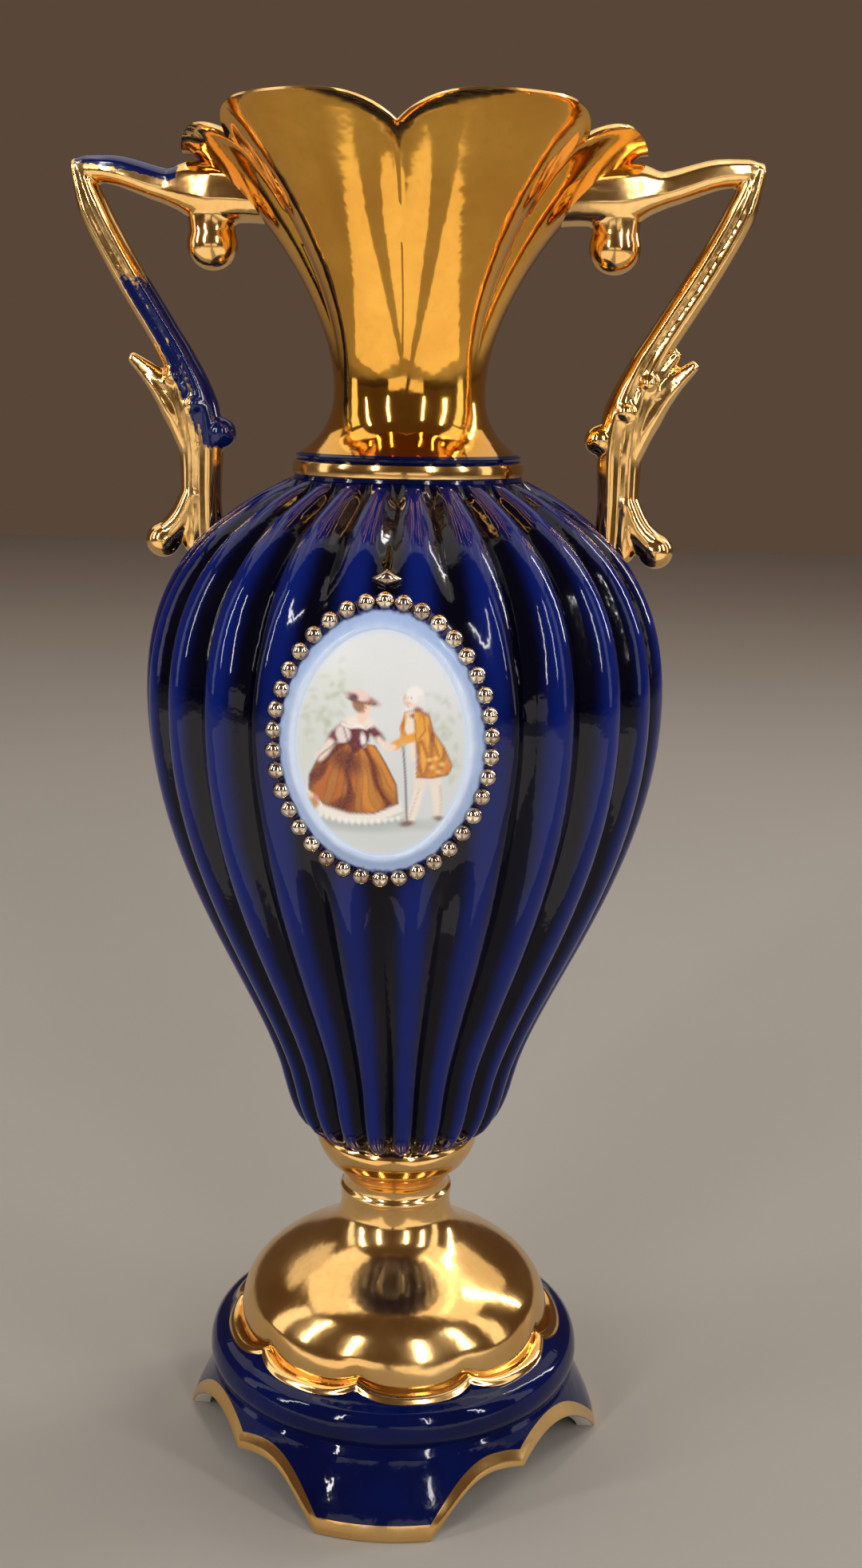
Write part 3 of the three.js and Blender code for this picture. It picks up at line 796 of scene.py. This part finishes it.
def make_neck():
    first = ring(COLLAR_RADIUS - 3, BODY_TOP - BODY_WALL + 1)
    rows = [(first, COBALT)]
    collar = [
        (0.3, 0.2, COBALT), (0.7, 1.2, GOLD), (0.1, 1.6, GOLD),
        (0, 2.4, GOLD), (0, 4.2, GOLD), (0.2, 5.0, GOLD),
        (0.8, 5.4, COBALT), (1.5, 5.8, COBALT), (1.2, 6.6, COBALT),
    ]
    rows += [(ring(COLLAR_RADIUS - inward, BODY_TOP + up), finish) for inward, up, finish in collar]
    flare = along_bezier(FLARE, 14)
    rows += [(ring(*point), AMBER if i else COBALT) for i, (point, _) in enumerate(flare)]
    rows += [(trumpet_row(i / 34, 0, 0), AMBER) for i in range(1, 34)]
    rim = [(0.0, -0.9), (0.25, -0.25), (0.8, 0), (1.6, 0), (2.4, -0.25), (3.0, -0.9)]
    rows += [(trumpet_row(1, inward, up), GOLD) for inward, up in rim]
    rows += [(trumpet_row(1 - i / 24, NECK_WALL, 0), IVORY if i > 1 else GOLD) for i in range(1, 24)]
    rows += [
        (ring(BORE_RADIUS, WAIST), IVORY),
        (ring(BORE_RADIUS, WAIST - 10), IVORY),
        (ring(BORE_RADIUS, BODY_TOP - BODY_WALL + 1), IVORY),
        (first, IVORY),
    ]
    return turned("neck", rows, LOBE_COUNT * 32)


# Oval frame


def on_front(side, up, raised):
    """A point on the front of the body, raised above the rib tips."""
    height = OVAL_CENTRE + up
    radius = body_radius(height) + raised
    turn = side / BODY_RADIUS
    return Vector((radius * math.sin(turn), -radius * math.cos(turn), height))


def oval(name, outline, sides):
    """An oval boss on the front. The outline gives (half width, half height, raise, finish) row by row."""

    def place(row, turn):
        half_width, half_height, raised, _ = outline[row]
        return on_front(half_width * math.sin(turn), -half_height * math.cos(turn), raised)

    return loft(name, sides, len(outline), place, lambda row: outline[row][3])


def make_frame():
    """The raised band of pale enamel between the picture and the beads."""
    width, height = PICTURE_HALF_WIDTH, PICTURE_HALF_HEIGHT
    out_w, out_h = BEAD_OVAL_HALF_WIDTH, BEAD_OVAL_HALF_HEIGHT
    base = -3.4
    outline = [
        (0, 0, base, BAND),
        (out_w + 1.2, out_h + 1.2, base, BAND),
        (out_w + 1.2, out_h + 1.2, -1.3, BAND),
        (out_w + 0.2, out_h + 0.2, -0.5, BAND),
        (out_w - 1.6, out_h - 1.6, 0.5, BAND),
        (out_w - 3, out_h - 3, 1.1, BAND),
        (mix(width, out_w - 3, 0.55), mix(height, out_h - 3, 0.55), 1.55, BAND),
        (width + 1.5, height + 1.5, 1.9, BAND),
        (width + 0.8, height + 0.8, 2.0, BAND),
        (width + 0.3, height + 0.3, 1.85, BAND),
        (width, height, 1.5, PICTURE),
        (width - 0.3, height - 0.3, PICTURE_RAISE, PICTURE),
    ]
    steps = 50
    for i in range(1, steps + 1):
        share = 1 - i / steps
        outline.append(((width - 0.3) * share, (height - 0.3) * share, PICTURE_RAISE, PICTURE))
    return oval("frame", outline, 304)


def make_bead():
    bpy.ops.object.select_all(action="DESELECT")
    bpy.ops.mesh.primitive_ico_sphere_add(subdivisions=3, radius=BEAD_RADIUS * MM)
    bead = bpy.context.object
    coat(bead, WORN)
    return bead


def copy_to(model, place):
    piece = bpy.data.objects.new(model.name, model.data.copy())
    bpy.context.scene.collection.objects.link(piece)
    piece.data.transform(Matrix.Translation(place))
    return piece


def oval_turns(count):
    """Turns that space points evenly round the bead oval."""
    fine = np.linspace(0, TAU, 1441)
    points = np.stack([BEAD_OVAL_HALF_WIDTH * np.sin(fine), BEAD_OVAL_HALF_HEIGHT * np.cos(fine)], 1)
    lengths = np.concatenate([[0], np.cumsum(np.linalg.norm(np.diff(points, axis=0), axis=1))])
    return np.interp(np.arange(count) * lengths[-1] / count, lengths, fine)


def add_beads(whole):
    bead = make_bead()
    for turn in oval_turns(BEAD_COUNT):
        side, up = BEAD_OVAL_HALF_WIDTH * math.sin(turn), BEAD_OVAL_HALF_HEIGHT * math.cos(turn)
        whole = combine(whole, copy_to(bead, on_front(side, up, 0.55) * MM))
    bpy.data.objects.remove(bead)
    return whole


def make_boss():
    """The small diamond above the oval."""
    bpy.ops.object.select_all(action="DESELECT")
    bpy.ops.mesh.primitive_ico_sphere_add(subdivisions=4, radius=1)
    boss = bpy.context.object
    coat(boss, WORN)
    place = on_front(0, BEAD_OVAL_HALF_HEIGHT + 5.2, -1) * MM
    for corner in boss.data.vertices:
        x, y, z = corner.co
        width = 4 * (1 - abs(z)) ** 0.25
        corner.co = Vector((width * x * MM, 2.6 * y * MM, 2.7 * z * (1 - 0.5 * abs(x)) * MM)) + place
    return boss


# Handles


def spline(points, share):
    """A smooth line through points, with centripetal spacing, as (point, way along it)."""

    def at(share):
        last = len(points) - 1
        spot = clamp(share) * last
        i = min(last - 1, int(spot))
        weight = spot - i
        p1, p2 = points[i], points[i + 1]
        p0 = points[i - 1] if i > 0 else p1 * 2 - p2
        p3 = points[i + 2] if i + 2 <= last else p2 * 2 - p1
        d0, d1, d2 = (max(1e-4, (b - a).length ** 0.5) for a, b in ((p0, p1), (p1, p2), (p2, p3)))
        t1 = ((p1 - p0) / d0 - (p2 - p0) / (d0 + d1) + (p2 - p1) / d1) * d1
        t2 = ((p2 - p1) / d1 - (p3 - p1) / (d1 + d2) + (p3 - p2) / d2) * d1
        a = 2 * p1 - 2 * p2 + t1 + t2
        b = -3 * p1 + 3 * p2 - 2 * t1 - t2
        return p1 + t1 * weight + b * weight**2 + a * weight**3

    step = 1e-3
    return at(share), (at(share + step) - at(share - step)).normalized()


def limb(name, side, stations, rows, groove=0.0):
    """A bar of the handle along stations of (x, z, half width, half depth), on the side +1 or -1, with round
    ends and a groove along its front and back."""
    centres = [Vector((x, 0, z)) for x, z, _, _ in stations]
    spots = np.linspace(0, 1, len(stations))
    widths, depths = [s[2] for s in stations], [s[3] for s in stations]
    cap = 3

    def place(row, turn):
        share = clamp((row - cap) / (rows - 1 - 2 * cap))
        close = max(cap - row, row - (rows - 1 - cap), 0) / cap
        size = math.sqrt(max(0.0, 1 - close**2))
        centre, along = spline(centres, share)
        width = float(np.interp(share, spots, widths))
        depth = float(np.interp(share, spots, depths))
        push = close * min(width, depth) * 0.6 * (1 if row > cap else -1)
        x, y = math.cos(turn), math.sin(turn)
        dent = 1 - groove * math.exp(-((x / 0.3) ** 2))
        point = centre + along * push + Vector((along.z, 0, -along.x)) * (x * width * size)
        return Vector((side * point.x, y * depth * size * dent, point.z))

    return loft(name, LIMB_SIDES, rows, place, lambda row: GOLD)


def lump(name, side, x, z, radius, depth):
    """A rounded knob of the handle."""
    bpy.ops.object.select_all(action="DESELECT")
    bpy.ops.mesh.primitive_uv_sphere_add(segments=24, ring_count=16, radius=1)
    knob = bpy.context.object
    knob.name = name
    coat(knob, GOLD)
    for corner in knob.data.vertices:
        corner.co = Vector((
            (side * x + corner.co.x * radius) * MM,
            corner.co.y * depth * MM,
            (z + corner.co.z * radius) * MM,
        ))
    return knob


def melt(piece):
    """Runs the joints of a form together, as slip and glaze do, and thins its mesh."""
    pick(piece)
    steps = (
        ("REMESH", {"mode": "VOXEL", "voxel_size": MELT_GRAIN * MM}),
        ("SMOOTH", {"factor": 0.5, "iterations": MELT_ROUNDS}),
        ("DECIMATE", {"ratio": MELT_SHARE_KEPT}),
    )
    for kind, settings in steps:
        change = piece.modifiers.new(kind.lower(), kind)
        for key, value in settings.items():
            setattr(change, key, value)
        bpy.ops.object.modifier_apply(modifier=change.name)
    coat(piece, GOLD)
    return piece


def make_handle(side):
    half, deep, leg = HANDLE_THICKNESS / 2, HANDLE_DEPTH / 2, LEG_THICKNESS / 2
    arm_level = MOUTH - ARM_BELOW_MOUTH
    shoulder = BODY_TOP - 18
    leg_x = body_radius(shoulder) + 0.5
    bend_x, bend_z = leg_x + 5, shoulder + (arm_level - shoulder) * 0.48
    tip = HANDLE_REACH
    arm = [
        (MOUTH_RADIUS - 27, arm_level - 8, 6.5, deep * 1.4),
        (MOUTH_RADIUS - 17, arm_level - 6, 8, deep * 1.5),
        (MOUTH_RADIUS - 8, arm_level - 5.5, 8.8, deep * 1.45),
        (MOUTH_RADIUS - 1, arm_level - 4.5, 7.6, deep * 1.25),
        (MOUTH_RADIUS + 5, arm_level - 4, half * 1.1, deep * 1.05),
        (tip - 14, arm_level, half * 0.95, deep),
        (tip - 4, arm_level + 1, half * 0.75, deep * 0.8),
        (tip - 1, arm_level + 1.8, 1.6, deep * 0.5),
    ]
    post = [
        (tip - 2.5, arm_level + 1.5, half * 0.6, deep * 0.8),
        (tip - 6.5, arm_level - 10, half, deep),
        (tip - 15, arm_level - 26, half, deep),
        (bend_x + 4.5, bend_z + 8, half, deep),
        (bend_x, bend_z, half * 1.1, deep * 1.1),
        (leg_x + 1, bend_z - 12, leg * 1.05, deep * 1.15),
        (leg_x - 0.5, bend_z - 24, leg, deep),
        (leg_x - 0.5, shoulder + 12, leg * 0.92, deep),
        (leg_x - 1, shoulder - 2, leg * 0.92, deep),
    ]
    leaf = [
        (leg_x + 1.5, bend_z - 24, 4, deep * 0.9),
        (leg_x + 6.5, bend_z - 12, 5, deep),
        (leg_x + 13, bend_z - 3.5, 3.4, deep * 0.85),
        (leg_x + 19.5, bend_z + 2.2, 1.7, deep * 0.5),
    ]
    second_leaf = [
        (leg_x + 5, bend_z - 9, 3, deep * 0.9),
        (leg_x + 10, bend_z - 0.5, 2.6, deep * 0.75),
        (leg_x + 14.6, bend_z + 5.2, 1.5, deep * 0.5),
    ]
    curl = [
        (leg_x + 1.5, shoulder + 13, 4, deep * 0.9),
        (leg_x + 5, shoulder + 5, 4.6, deep * 0.9),
        (leg_x + 10, shoulder, 4.4, deep * 0.85),
    ]
    stalk = [
        (MOUTH_RADIUS - 8.5, arm_level - 6, SCROLL_RADIUS + 0.8, SCROLL_DEPTH / 2),
        (MOUTH_RADIUS - 8, arm_level - 12, SCROLL_RADIUS - 0.4, SCROLL_DEPTH * 0.46),
        (MOUTH_RADIUS - 8, arm_level - 19.5, SCROLL_RADIUS * 0.85, SCROLL_DEPTH * 0.42),
    ]
    pieces = [
        limb("arm", side, arm, 40, groove=0.1),
        limb("post", side, post, 80, groove=0.28),
        limb("leaf", side, leaf, 26, groove=0.2),
        limb("curl", side, curl, 18),
        limb("stalk", side, stalk, 18),
        lump("ball", side, leg_x + 11, shoulder - 1, BALL_RADIUS, BALL_RADIUS * 1.15),
        lump("knob", side, leg_x - 6.5, bend_z - 19, KNOB_RADIUS, deep * 0.9),
        lump("lower bud", side, leg_x + 0.5, bend_z - 11, 3.9, deep * 1.25),
        lump("upper bud", side, leg_x + 6.5, bend_z - 3, 3.6, deep * 1.2),
        lump("scroll", side, MOUTH_RADIUS - 8, arm_level - 19.6, SCROLL_RADIUS, SCROLL_DEPTH / 2),
    ]
    if side > 0:
        pieces.append(limb("small leaf", side, second_leaf, 20))
    handle = pieces[0]
    for piece in pieces[1:]:
        handle = combine(handle, piece)
    return melt(handle)


def paint_left_handle(vase):
    """Cobalt lies on top of the left handle's arm, and on the inner half of its post down to the knob."""
    mesh = vase.data
    blue = mesh.attributes.new("blue", "FLOAT", "POINT")
    shares = np.zeros(len(mesh.vertices))
    for i, corner in enumerate(mesh.vertices):
        x, _, z = corner.co / MM
        if x > -50 or z < 305:
            continue
        edge = float(np.interp(-x, *ARM_EDGE))
        on_arm = smooth(z - edge, -0.6, 0.8) * smooth(x, -64, -68) * smooth(x, -97, -95)
        edge = float(np.interp(z, *POST_EDGE))
        on_post = smooth(x - edge, -0.8, 0.8) * smooth(corner.normal.x, -0.5, -0.1)
        on_post *= smooth(z, 368, 350) * smooth(z, 309, 313)
        shares[i] = max(on_arm, on_post)
    blue.data.foreach_set("value", shares.astype(np.float32))


# Picture


def make_picture_colours(side, up):
    """Own design of a courting couple in a garden, from soft-edged shapes laid one over another."""
    colour = np.empty((len(side), 3))
    colour[:] = (0.60, 0.635, 0.665)

    def lay(cover, tint, share=1.0):
        amount = (np.clip(cover, 0, 1) * share)[:, None]
        colour[:] = colour * (1 - amount) + np.array(tint) * amount

    def ellipse(x, y, rx, ry, angle=0.0, soft=0.35):
        c, s = math.cos(math.radians(angle)), math.sin(math.radians(angle))
        u, v = side - x, up - y
        a, b = (u * c + v * s) / rx, (-u * s + v * c) / ry
        return 0.5 - (np.hypot(a, b) - 1) * min(rx, ry) / (2 * soft)

    def away_from(points):
        gap = np.full(len(side), 1e9)
        for (ax, ay), (bx, by) in zip(points, points[1:]):
            dx, dy = bx - ax, by - ay
            t = np.clip(((side - ax) * dx + (up - ay) * dy) / (dx * dx + dy * dy), 0, 1)
            gap = np.minimum(gap, np.hypot(side - ax - t * dx, up - ay - t * dy))
        return gap

    def shape(points):
        closed = points + points[:1]
        inside = np.zeros(len(side), bool)
        for (ax, ay), (bx, by) in zip(closed, closed[1:]):
            level = (bx - ax) * (up - ay) / (by - ay if by != ay else 1e-9) + ax
            inside ^= ((ay > up) != (by > up)) & (side < level)
        gap = away_from(closed)
        return 0.5 + np.where(inside, gap, -gap) / 0.6

    def stroke(points, width, soft=0.25):
        return 0.5 + (width / 2 - away_from(points)) / (2 * soft)

    # Sky, far trees and grass
    lay(ellipse(0, 16, 20, 16, soft=6), (0.65, 0.68, 0.70), 0.8)
    trees = ((-14, 12, 6, 8), (-17, 3, 5, 9), (-9, 16, 5, 4), (-19, -4, 4, 6), (15, 2, 5, 9), (18, -5, 4, 7))
    for x, y, rx, ry in trees:
        lay(ellipse(x, y, rx, ry, 15, 2.2), (0.56, 0.62, 0.55), 0.42)
    leaves = np.random.default_rng(11)
    for _ in range(90):
        x, y = leaves.choice([-14.5, -11, 15]) + leaves.normal() * 2.2, leaves.normal() * 6 + 6
        green = (0.30 + leaves.random() * 0.12, 0.36 + leaves.random() * 0.1, 0.30)
        rx, ry, angle = 0.5 + leaves.random(), 0.4 + leaves.random() * 0.5, leaves.random() * 180
        lay(ellipse(x, y, rx, ry, angle, 0.35), green, 0.3)
    lay(ellipse(0, -22, 19, 5, 0, 1.6), (0.55, 0.62, 0.6), 0.5)
    lay(ellipse(-6, -20.5, 13.5, 2.4, 0, 0.9), (0.33, 0.4, 0.4), 0.65)
    lay(ellipse(12, -20.6, 7, 1.5, 0, 0.7), (0.4, 0.46, 0.46), 0.55)

    # Seated lady: white hem, wide rust skirt with darker folds, burgundy bodice, lace sleeves, straw hat
    hem = [(-19.5, -12), (-17, -18.4), (-9, -20.8), (0, -20.2), (6.2, -17.2), (5, -13), (-8, -10)]
    lay(shape(hem), (0.78, 0.76, 0.72))
    lay(stroke([(-19.2, -14), (-16.4, -18.6), (-9, -20.6), (0, -20), (6, -17.2)], 0.7), (0.5, 0.5, 0.48), 0.7)
    skirt = shape([
        (-11.4, 0.6), (-15.6, -3), (-18.4, -8.4), (-18.6, -12.2), (-14.6, -16), (-8, -17.8), (-1.5, -17.6),
        (4.8, -14.8), (4.2, -9.6), (1.4, -4), (-1.2, 0.4), (-6, 1.4),
    ])
    lay(skirt, (0.14, 0.022, 0.008))
    around = np.arctan2(side + 6.2, 4.5 - up)
    fold = 0.5 + 0.5 * np.sin(around * 11 + 0.6 * np.sin(up * 0.45 + side * 0.3))
    crease = 0.5 + 0.5 * np.sin(around * 27 + 0.9 * np.sin(up * 0.4 - side * 0.3))
    lay(skirt * fold**1.5, (0.46, 0.13, 0.018), 0.9)
    lay(skirt * np.clip((side + 5) / 5, 0, 1) * fold, (0.60, 0.235, 0.03), 0.85)
    lay(skirt * crease**3 * np.clip((-2 - up) / 5, 0, 1), (0.12, 0.02, 0.008), 0.45)
    lay(skirt * crease**5 * fold, (0.70, 0.36, 0.07), 0.25)
    lay(ellipse(-8.6, -3.6, 4.6, 3, -30, 1.5), (0.09, 0.010, 0.010), 0.8)
    edge = [(-18.2, -12.5), (-14.2, -16.2), (-8, -17.9), (-1.5, -17.7), (4.6, -14.9)]
    lay(stroke(edge, 0.6), (0.16, 0.04, 0.02), 0.6)
    lay(shape([(-9.2, 5.6), (-2.2, 5.8), (-2.8, 1.6), (-6, -1.4), (-9, 1.2)]), (0.12, 0.018, 0.03))
    lay(stroke([(-9, 5), (-11.6, 2.6), (-12.6, 0.6)], 2.6, 0.5), (0.16, 0.02, 0.035))
    lay(stroke([(-2.6, 5), (-0.4, 3), (0.2, 2)], 2.2, 0.5), (0.15, 0.02, 0.035))
    lay(stroke([(-12.8, 0.6), (-14.2, -1.8), (-15.6, -3.2)], 2.3, 0.5), (0.76, 0.66, 0.6))
    lay(stroke([(-0.2, 2), (1.4, 0.2), (3.2, 0)], 1.7, 0.5), (0.78, 0.66, 0.58))
    lay(ellipse(-9.4, 3.2, 1.9, 2.2, 20), (0.7, 0.62, 0.62))
    lay(ellipse(-4.2, 1.9, 0.7, 1.7, 8), (0.8, 0.76, 0.76))
    lay(ellipse(-5.6, 6.4, 3.9, 1.5, 0, 0.5), (0.8, 0.72, 0.66))
    lay(ellipse(-4.6, 7.6, 1.3, 1.7, 0), (0.8, 0.6, 0.48))
    lay(ellipse(-4.2, 10, 1.75, 2.1, -10), (0.8, 0.6, 0.48))
    lay(ellipse(-5.6, 10.8, 1.5, 2.1, 25), (0.3, 0.15, 0.08))
    lay(ellipse(-4.6, 12.3, 4.2, 1.15, -16), (0.34, 0.16, 0.13))
    lay(ellipse(-5.1, 13.2, 2.4, 1.4, -16), (0.74, 0.58, 0.52))
    lay(ellipse(-6.9, 12.6, 1.2, 1.0, 0), (0.16, 0.05, 0.08))
    lace = [(-9.6, 5.7), (-7.4, 4.9), (-5.4, 5.4), (-3.6, 4.8), (-2, 5.7)]
    lay(stroke(lace, 0.7), (0.88, 0.84, 0.80), 0.8)
    waist = [(-9.3, 4.9), (-8.2, 1.4), (-6, -1.5), (-3.2, 1.2), (-2.6, 4.6)]
    lay(stroke(waist, 0.35, 0.2), (0.06, 0.012, 0.02), 0.8)
    lay(stroke([(-8.6, 12.4), (-5.4, 11.4), (-1.2, 11.0)], 0.4, 0.2), (0.12, 0.04, 0.05), 0.8)
    lay(stroke([(-11.4, 0.6), (-15.6, -3), (-18.4, -8.4), (-18.6, -12.2)], 0.4), (0.08, 0.02, 0.015), 0.7)
    lay(stroke([(-1.2, 0.4), (1.4, -4), (4.2, -9.6), (4.8, -14.8)], 0.4), (0.14, 0.03, 0.015), 0.7)
    for x in np.linspace(-17.5, 5, 14):
        y = -18.6 - 1.7 * math.cos((x + 6) / 7.5)
        lay(ellipse(x, y, 0.75, 0.6, 0, 0.3), (0.90, 0.88, 0.85), 0.7)
        lay(ellipse(x + 0.8, y - 0.5, 0.3, 0.4, 0, 0.3), (0.32, 0.28, 0.26), 0.5)
    for x, y in ((-4.8, 10.2), (-3.6, 10.1)):
        lay(ellipse(x, y, 0.22, 0.14, 0, 0.2), (0.25, 0.12, 0.08), 0.8)
    lay(ellipse(-4.1, 9.1, 0.35, 0.16, 0, 0.2), (0.55, 0.16, 0.12), 0.8)

    # A basket of flowers beside the skirt
    lay(ellipse(-18.2, -15.8, 2.2, 1.6, 0), (0.45, 0.28, 0.12))
    flowers = (
        (-19.2, -14.2, (0.7, 0.3, 0.32)),
        (-18, -13.8, (0.78, 0.62, 0.25)),
        (-16.9, -14.3, (0.66, 0.25, 0.3)),
    )
    for x, y, tint in flowers:
        lay(ellipse(x, y, 0.8, 0.7, 0, 0.3), tint)

    # Standing man: pale stockings and breeches, ochre coat over a light waistcoat, powdered hair, cane
    lay(stroke([(10.6, -9), (9.4, -14.5), (8, -19.6)], 2.3, 0.4), (0.80, 0.72, 0.64))
    lay(stroke([(14, -9), (14.9, -14), (15.2, -18.2)], 2.2, 0.4), (0.76, 0.69, 0.62))
    lay(ellipse(7.2, -20.3, 2.0, 0.8, 8), (0.2, 0.14, 0.12))
    lay(ellipse(15.8, -18.9, 1.7, 0.75, -8), (0.22, 0.16, 0.14))
    breeches = [(8.6, -5.6), (15.6, -5.2), (15.8, -10.4), (12.8, -10), (12, -8), (11.6, -11), (8.9, -11)]
    lay(shape(breeches), (0.74, 0.66, 0.6))
    back = [
        (6.2, 9.2), (9.6, 10), (12.2, 8.6), (13.6, 4), (16.2, 0.2), (18.4, -4.6), (17.4, -7), (13.4, -7.8),
        (9.4, -7.6),
    ]
    ochre = shape(back + [(9.6, -2), (8.8, 1.6), (5.4, 2.6), (5, 5.4)])
    lay(ochre, (0.40, 0.115, 0.014))
    sheen = 0.5 + 0.5 * np.sin(side * 2.1 + up * 0.8)
    lay(ochre * sheen, (0.70, 0.29, 0.035), 0.85)
    sheen = 0.5 + 0.5 * np.sin(side * 2.6 + up * 0.5 + 0.7 * np.sin(up * 0.5))
    lay(ochre * sheen**3, (0.80, 0.44, 0.08), 0.6)
    shade = 0.5 + 0.5 * np.sin(side * 1.9 - up * 0.3 + 2 + 0.6 * np.sin(up * 0.6))
    lay(ochre * shade**6, (0.16, 0.035, 0.012), 0.6)
    tail = [(13.6, -1), (18, -4.8), (17.2, -6.8), (13.4, -7.6), (11.2, -6.8), (11.8, -2)]
    lay(shape(tail), (0.55, 0.15, 0.02), 0.45)
    for x, y in ((14.2, -2.6), (15.8, -4.2), (13.2, -5), (15, -6.2), (12.6, -3)):
        lay(ellipse(x, y, 0.6, 0.5), (0.82, 0.62, 0.18), 0.8)
    waistcoat = [(6.8, 8.6), (8.4, 7.6), (8.9, 2.6), (9.2, -3.4), (8, -3.2), (7.2, 2), (6.2, 5)]
    lay(shape(waistcoat), (0.77, 0.68, 0.58))
    lay(stroke([(11.2, 7.2), (10.4, 3.4), (6.4, 2.2), (3.8, 0.6)], 2.3, 0.4), (0.74, 0.33, 0.045))
    lay(ellipse(3.2, 0.2, 1.0, 0.8), (0.8, 0.62, 0.5))
    lay(stroke([(5.9, 0.4), (6.6, -8), (7.2, -20.6)], 0.5, 0.2), (0.16, 0.13, 0.14))
    lay(ellipse(5.8, 1.1, 0.75, 0.75), (0.6, 0.42, 0.2))
    lay(ellipse(7.6, 12.6, 1.7, 2.05, 6), (0.8, 0.6, 0.48))
    lay(ellipse(8.7, 13.7, 2.2, 2.1, 0), (0.78, 0.76, 0.76))
    lay(ellipse(10.3, 11.6, 0.9, 1.9, 8), (0.7, 0.68, 0.7))
    lay(ellipse(9.4, 9.9, 1.1, 0.6, 0), (0.3, 0.12, 0.08))
    lay(ellipse(7.2, 9.6, 1.3, 0.9, 0), (0.82, 0.78, 0.74))
    lay(stroke(back, 0.4), (0.16, 0.05, 0.02), 0.7)
    lay(stroke([(10.9, 8.2), (11.4, 4.6), (9.8, 2.4)], 0.35, 0.22), (0.20, 0.06, 0.02), 0.7)
    lay(stroke([(8.8, 7.4), (9.0, 2.6), (9.4, -3.2), (9.6, -7.2)], 0.35, 0.22), (0.25, 0.10, 0.04), 0.7)
    lay(stroke([(10.2, -10.8), (8.9, -15), (7.6, -19.4)], 0.3, 0.22), (0.42, 0.30, 0.24), 0.6)
    lay(stroke([(15.4, -9.8), (15.9, -14), (15.8, -17.8)], 0.3, 0.22), (0.42, 0.30, 0.24), 0.6)
    lay(stroke([(6.2, 13.6), (5.8, 12.4), (6.4, 11), (7.4, 10.5)], 0.3, 0.2), (0.45, 0.26, 0.18), 0.6)
    for x, y in ((6.7, 12.9), (7.8, 12.9)):
        lay(ellipse(x, y, 0.22, 0.14, 0, 0.2), (0.25, 0.12, 0.08), 0.8)
    lay(ellipse(7.1, 11.6, 0.35, 0.16, 0, 0.2), (0.55, 0.18, 0.14), 0.8)

    # The picture fades into the pale blue of its frame
    away = np.hypot(side / PICTURE_HALF_WIDTH, up / PICTURE_HALF_HEIGHT)
    lay((away - 0.955) / 0.03, (0.55, 0.67, 0.84))
    return colour


def paint_picture(vase):
    mesh = vase.data
    paint = mesh.color_attributes.new("paint", "FLOAT_COLOR", "POINT")
    where = np.zeros(len(mesh.vertices) * 3)
    mesh.vertices.foreach_get("co", where)
    where = where.reshape(-1, 3) / MM
    side = np.arctan2(where[:, 0], -where[:, 1]) * BODY_RADIUS
    up = where[:, 2] - OVAL_CENTRE
    values = np.ones((len(where), 4))
    near = (np.hypot(side / PICTURE_HALF_WIDTH, up / PICTURE_HALF_HEIGHT) < 1.1) & (where[:, 1] < 0)
    values[near, :3] = make_picture_colours(side[near], up[near])
    paint.data.foreach_set("color", values.astype(np.float32).ravel())


# The whole vase


def make_vase():
    vase = combine(make_body(), make_frame())
    vase = add_beads(vase)
    vase = combine(vase, make_boss())
    vase = combine(vase, make_handle(1))
    vase = combine(vase, make_handle(-1))
    vase = combine(vase, make_throat(), "DIFFERENCE")
    vase = combine(vase, make_cavity(), "DIFFERENCE")
    vase = combine(vase, make_stem())
    vase = combine(vase, make_base())
    vase = combine(vase, make_hollow(), "DIFFERENCE")
    vase = combine(vase, make_neck())
    vase.name = "glazed_vase"
    vase.data.name = "glazed_vase"
    paint_left_handle(vase)
    paint_picture(vase)
    pick(vase)
    bpy.ops.object.shade_smooth_by_angle(angle=math.radians(42))
    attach(vase, "root")
    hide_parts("vase")


make_camera()
make_studio()
make_vase()
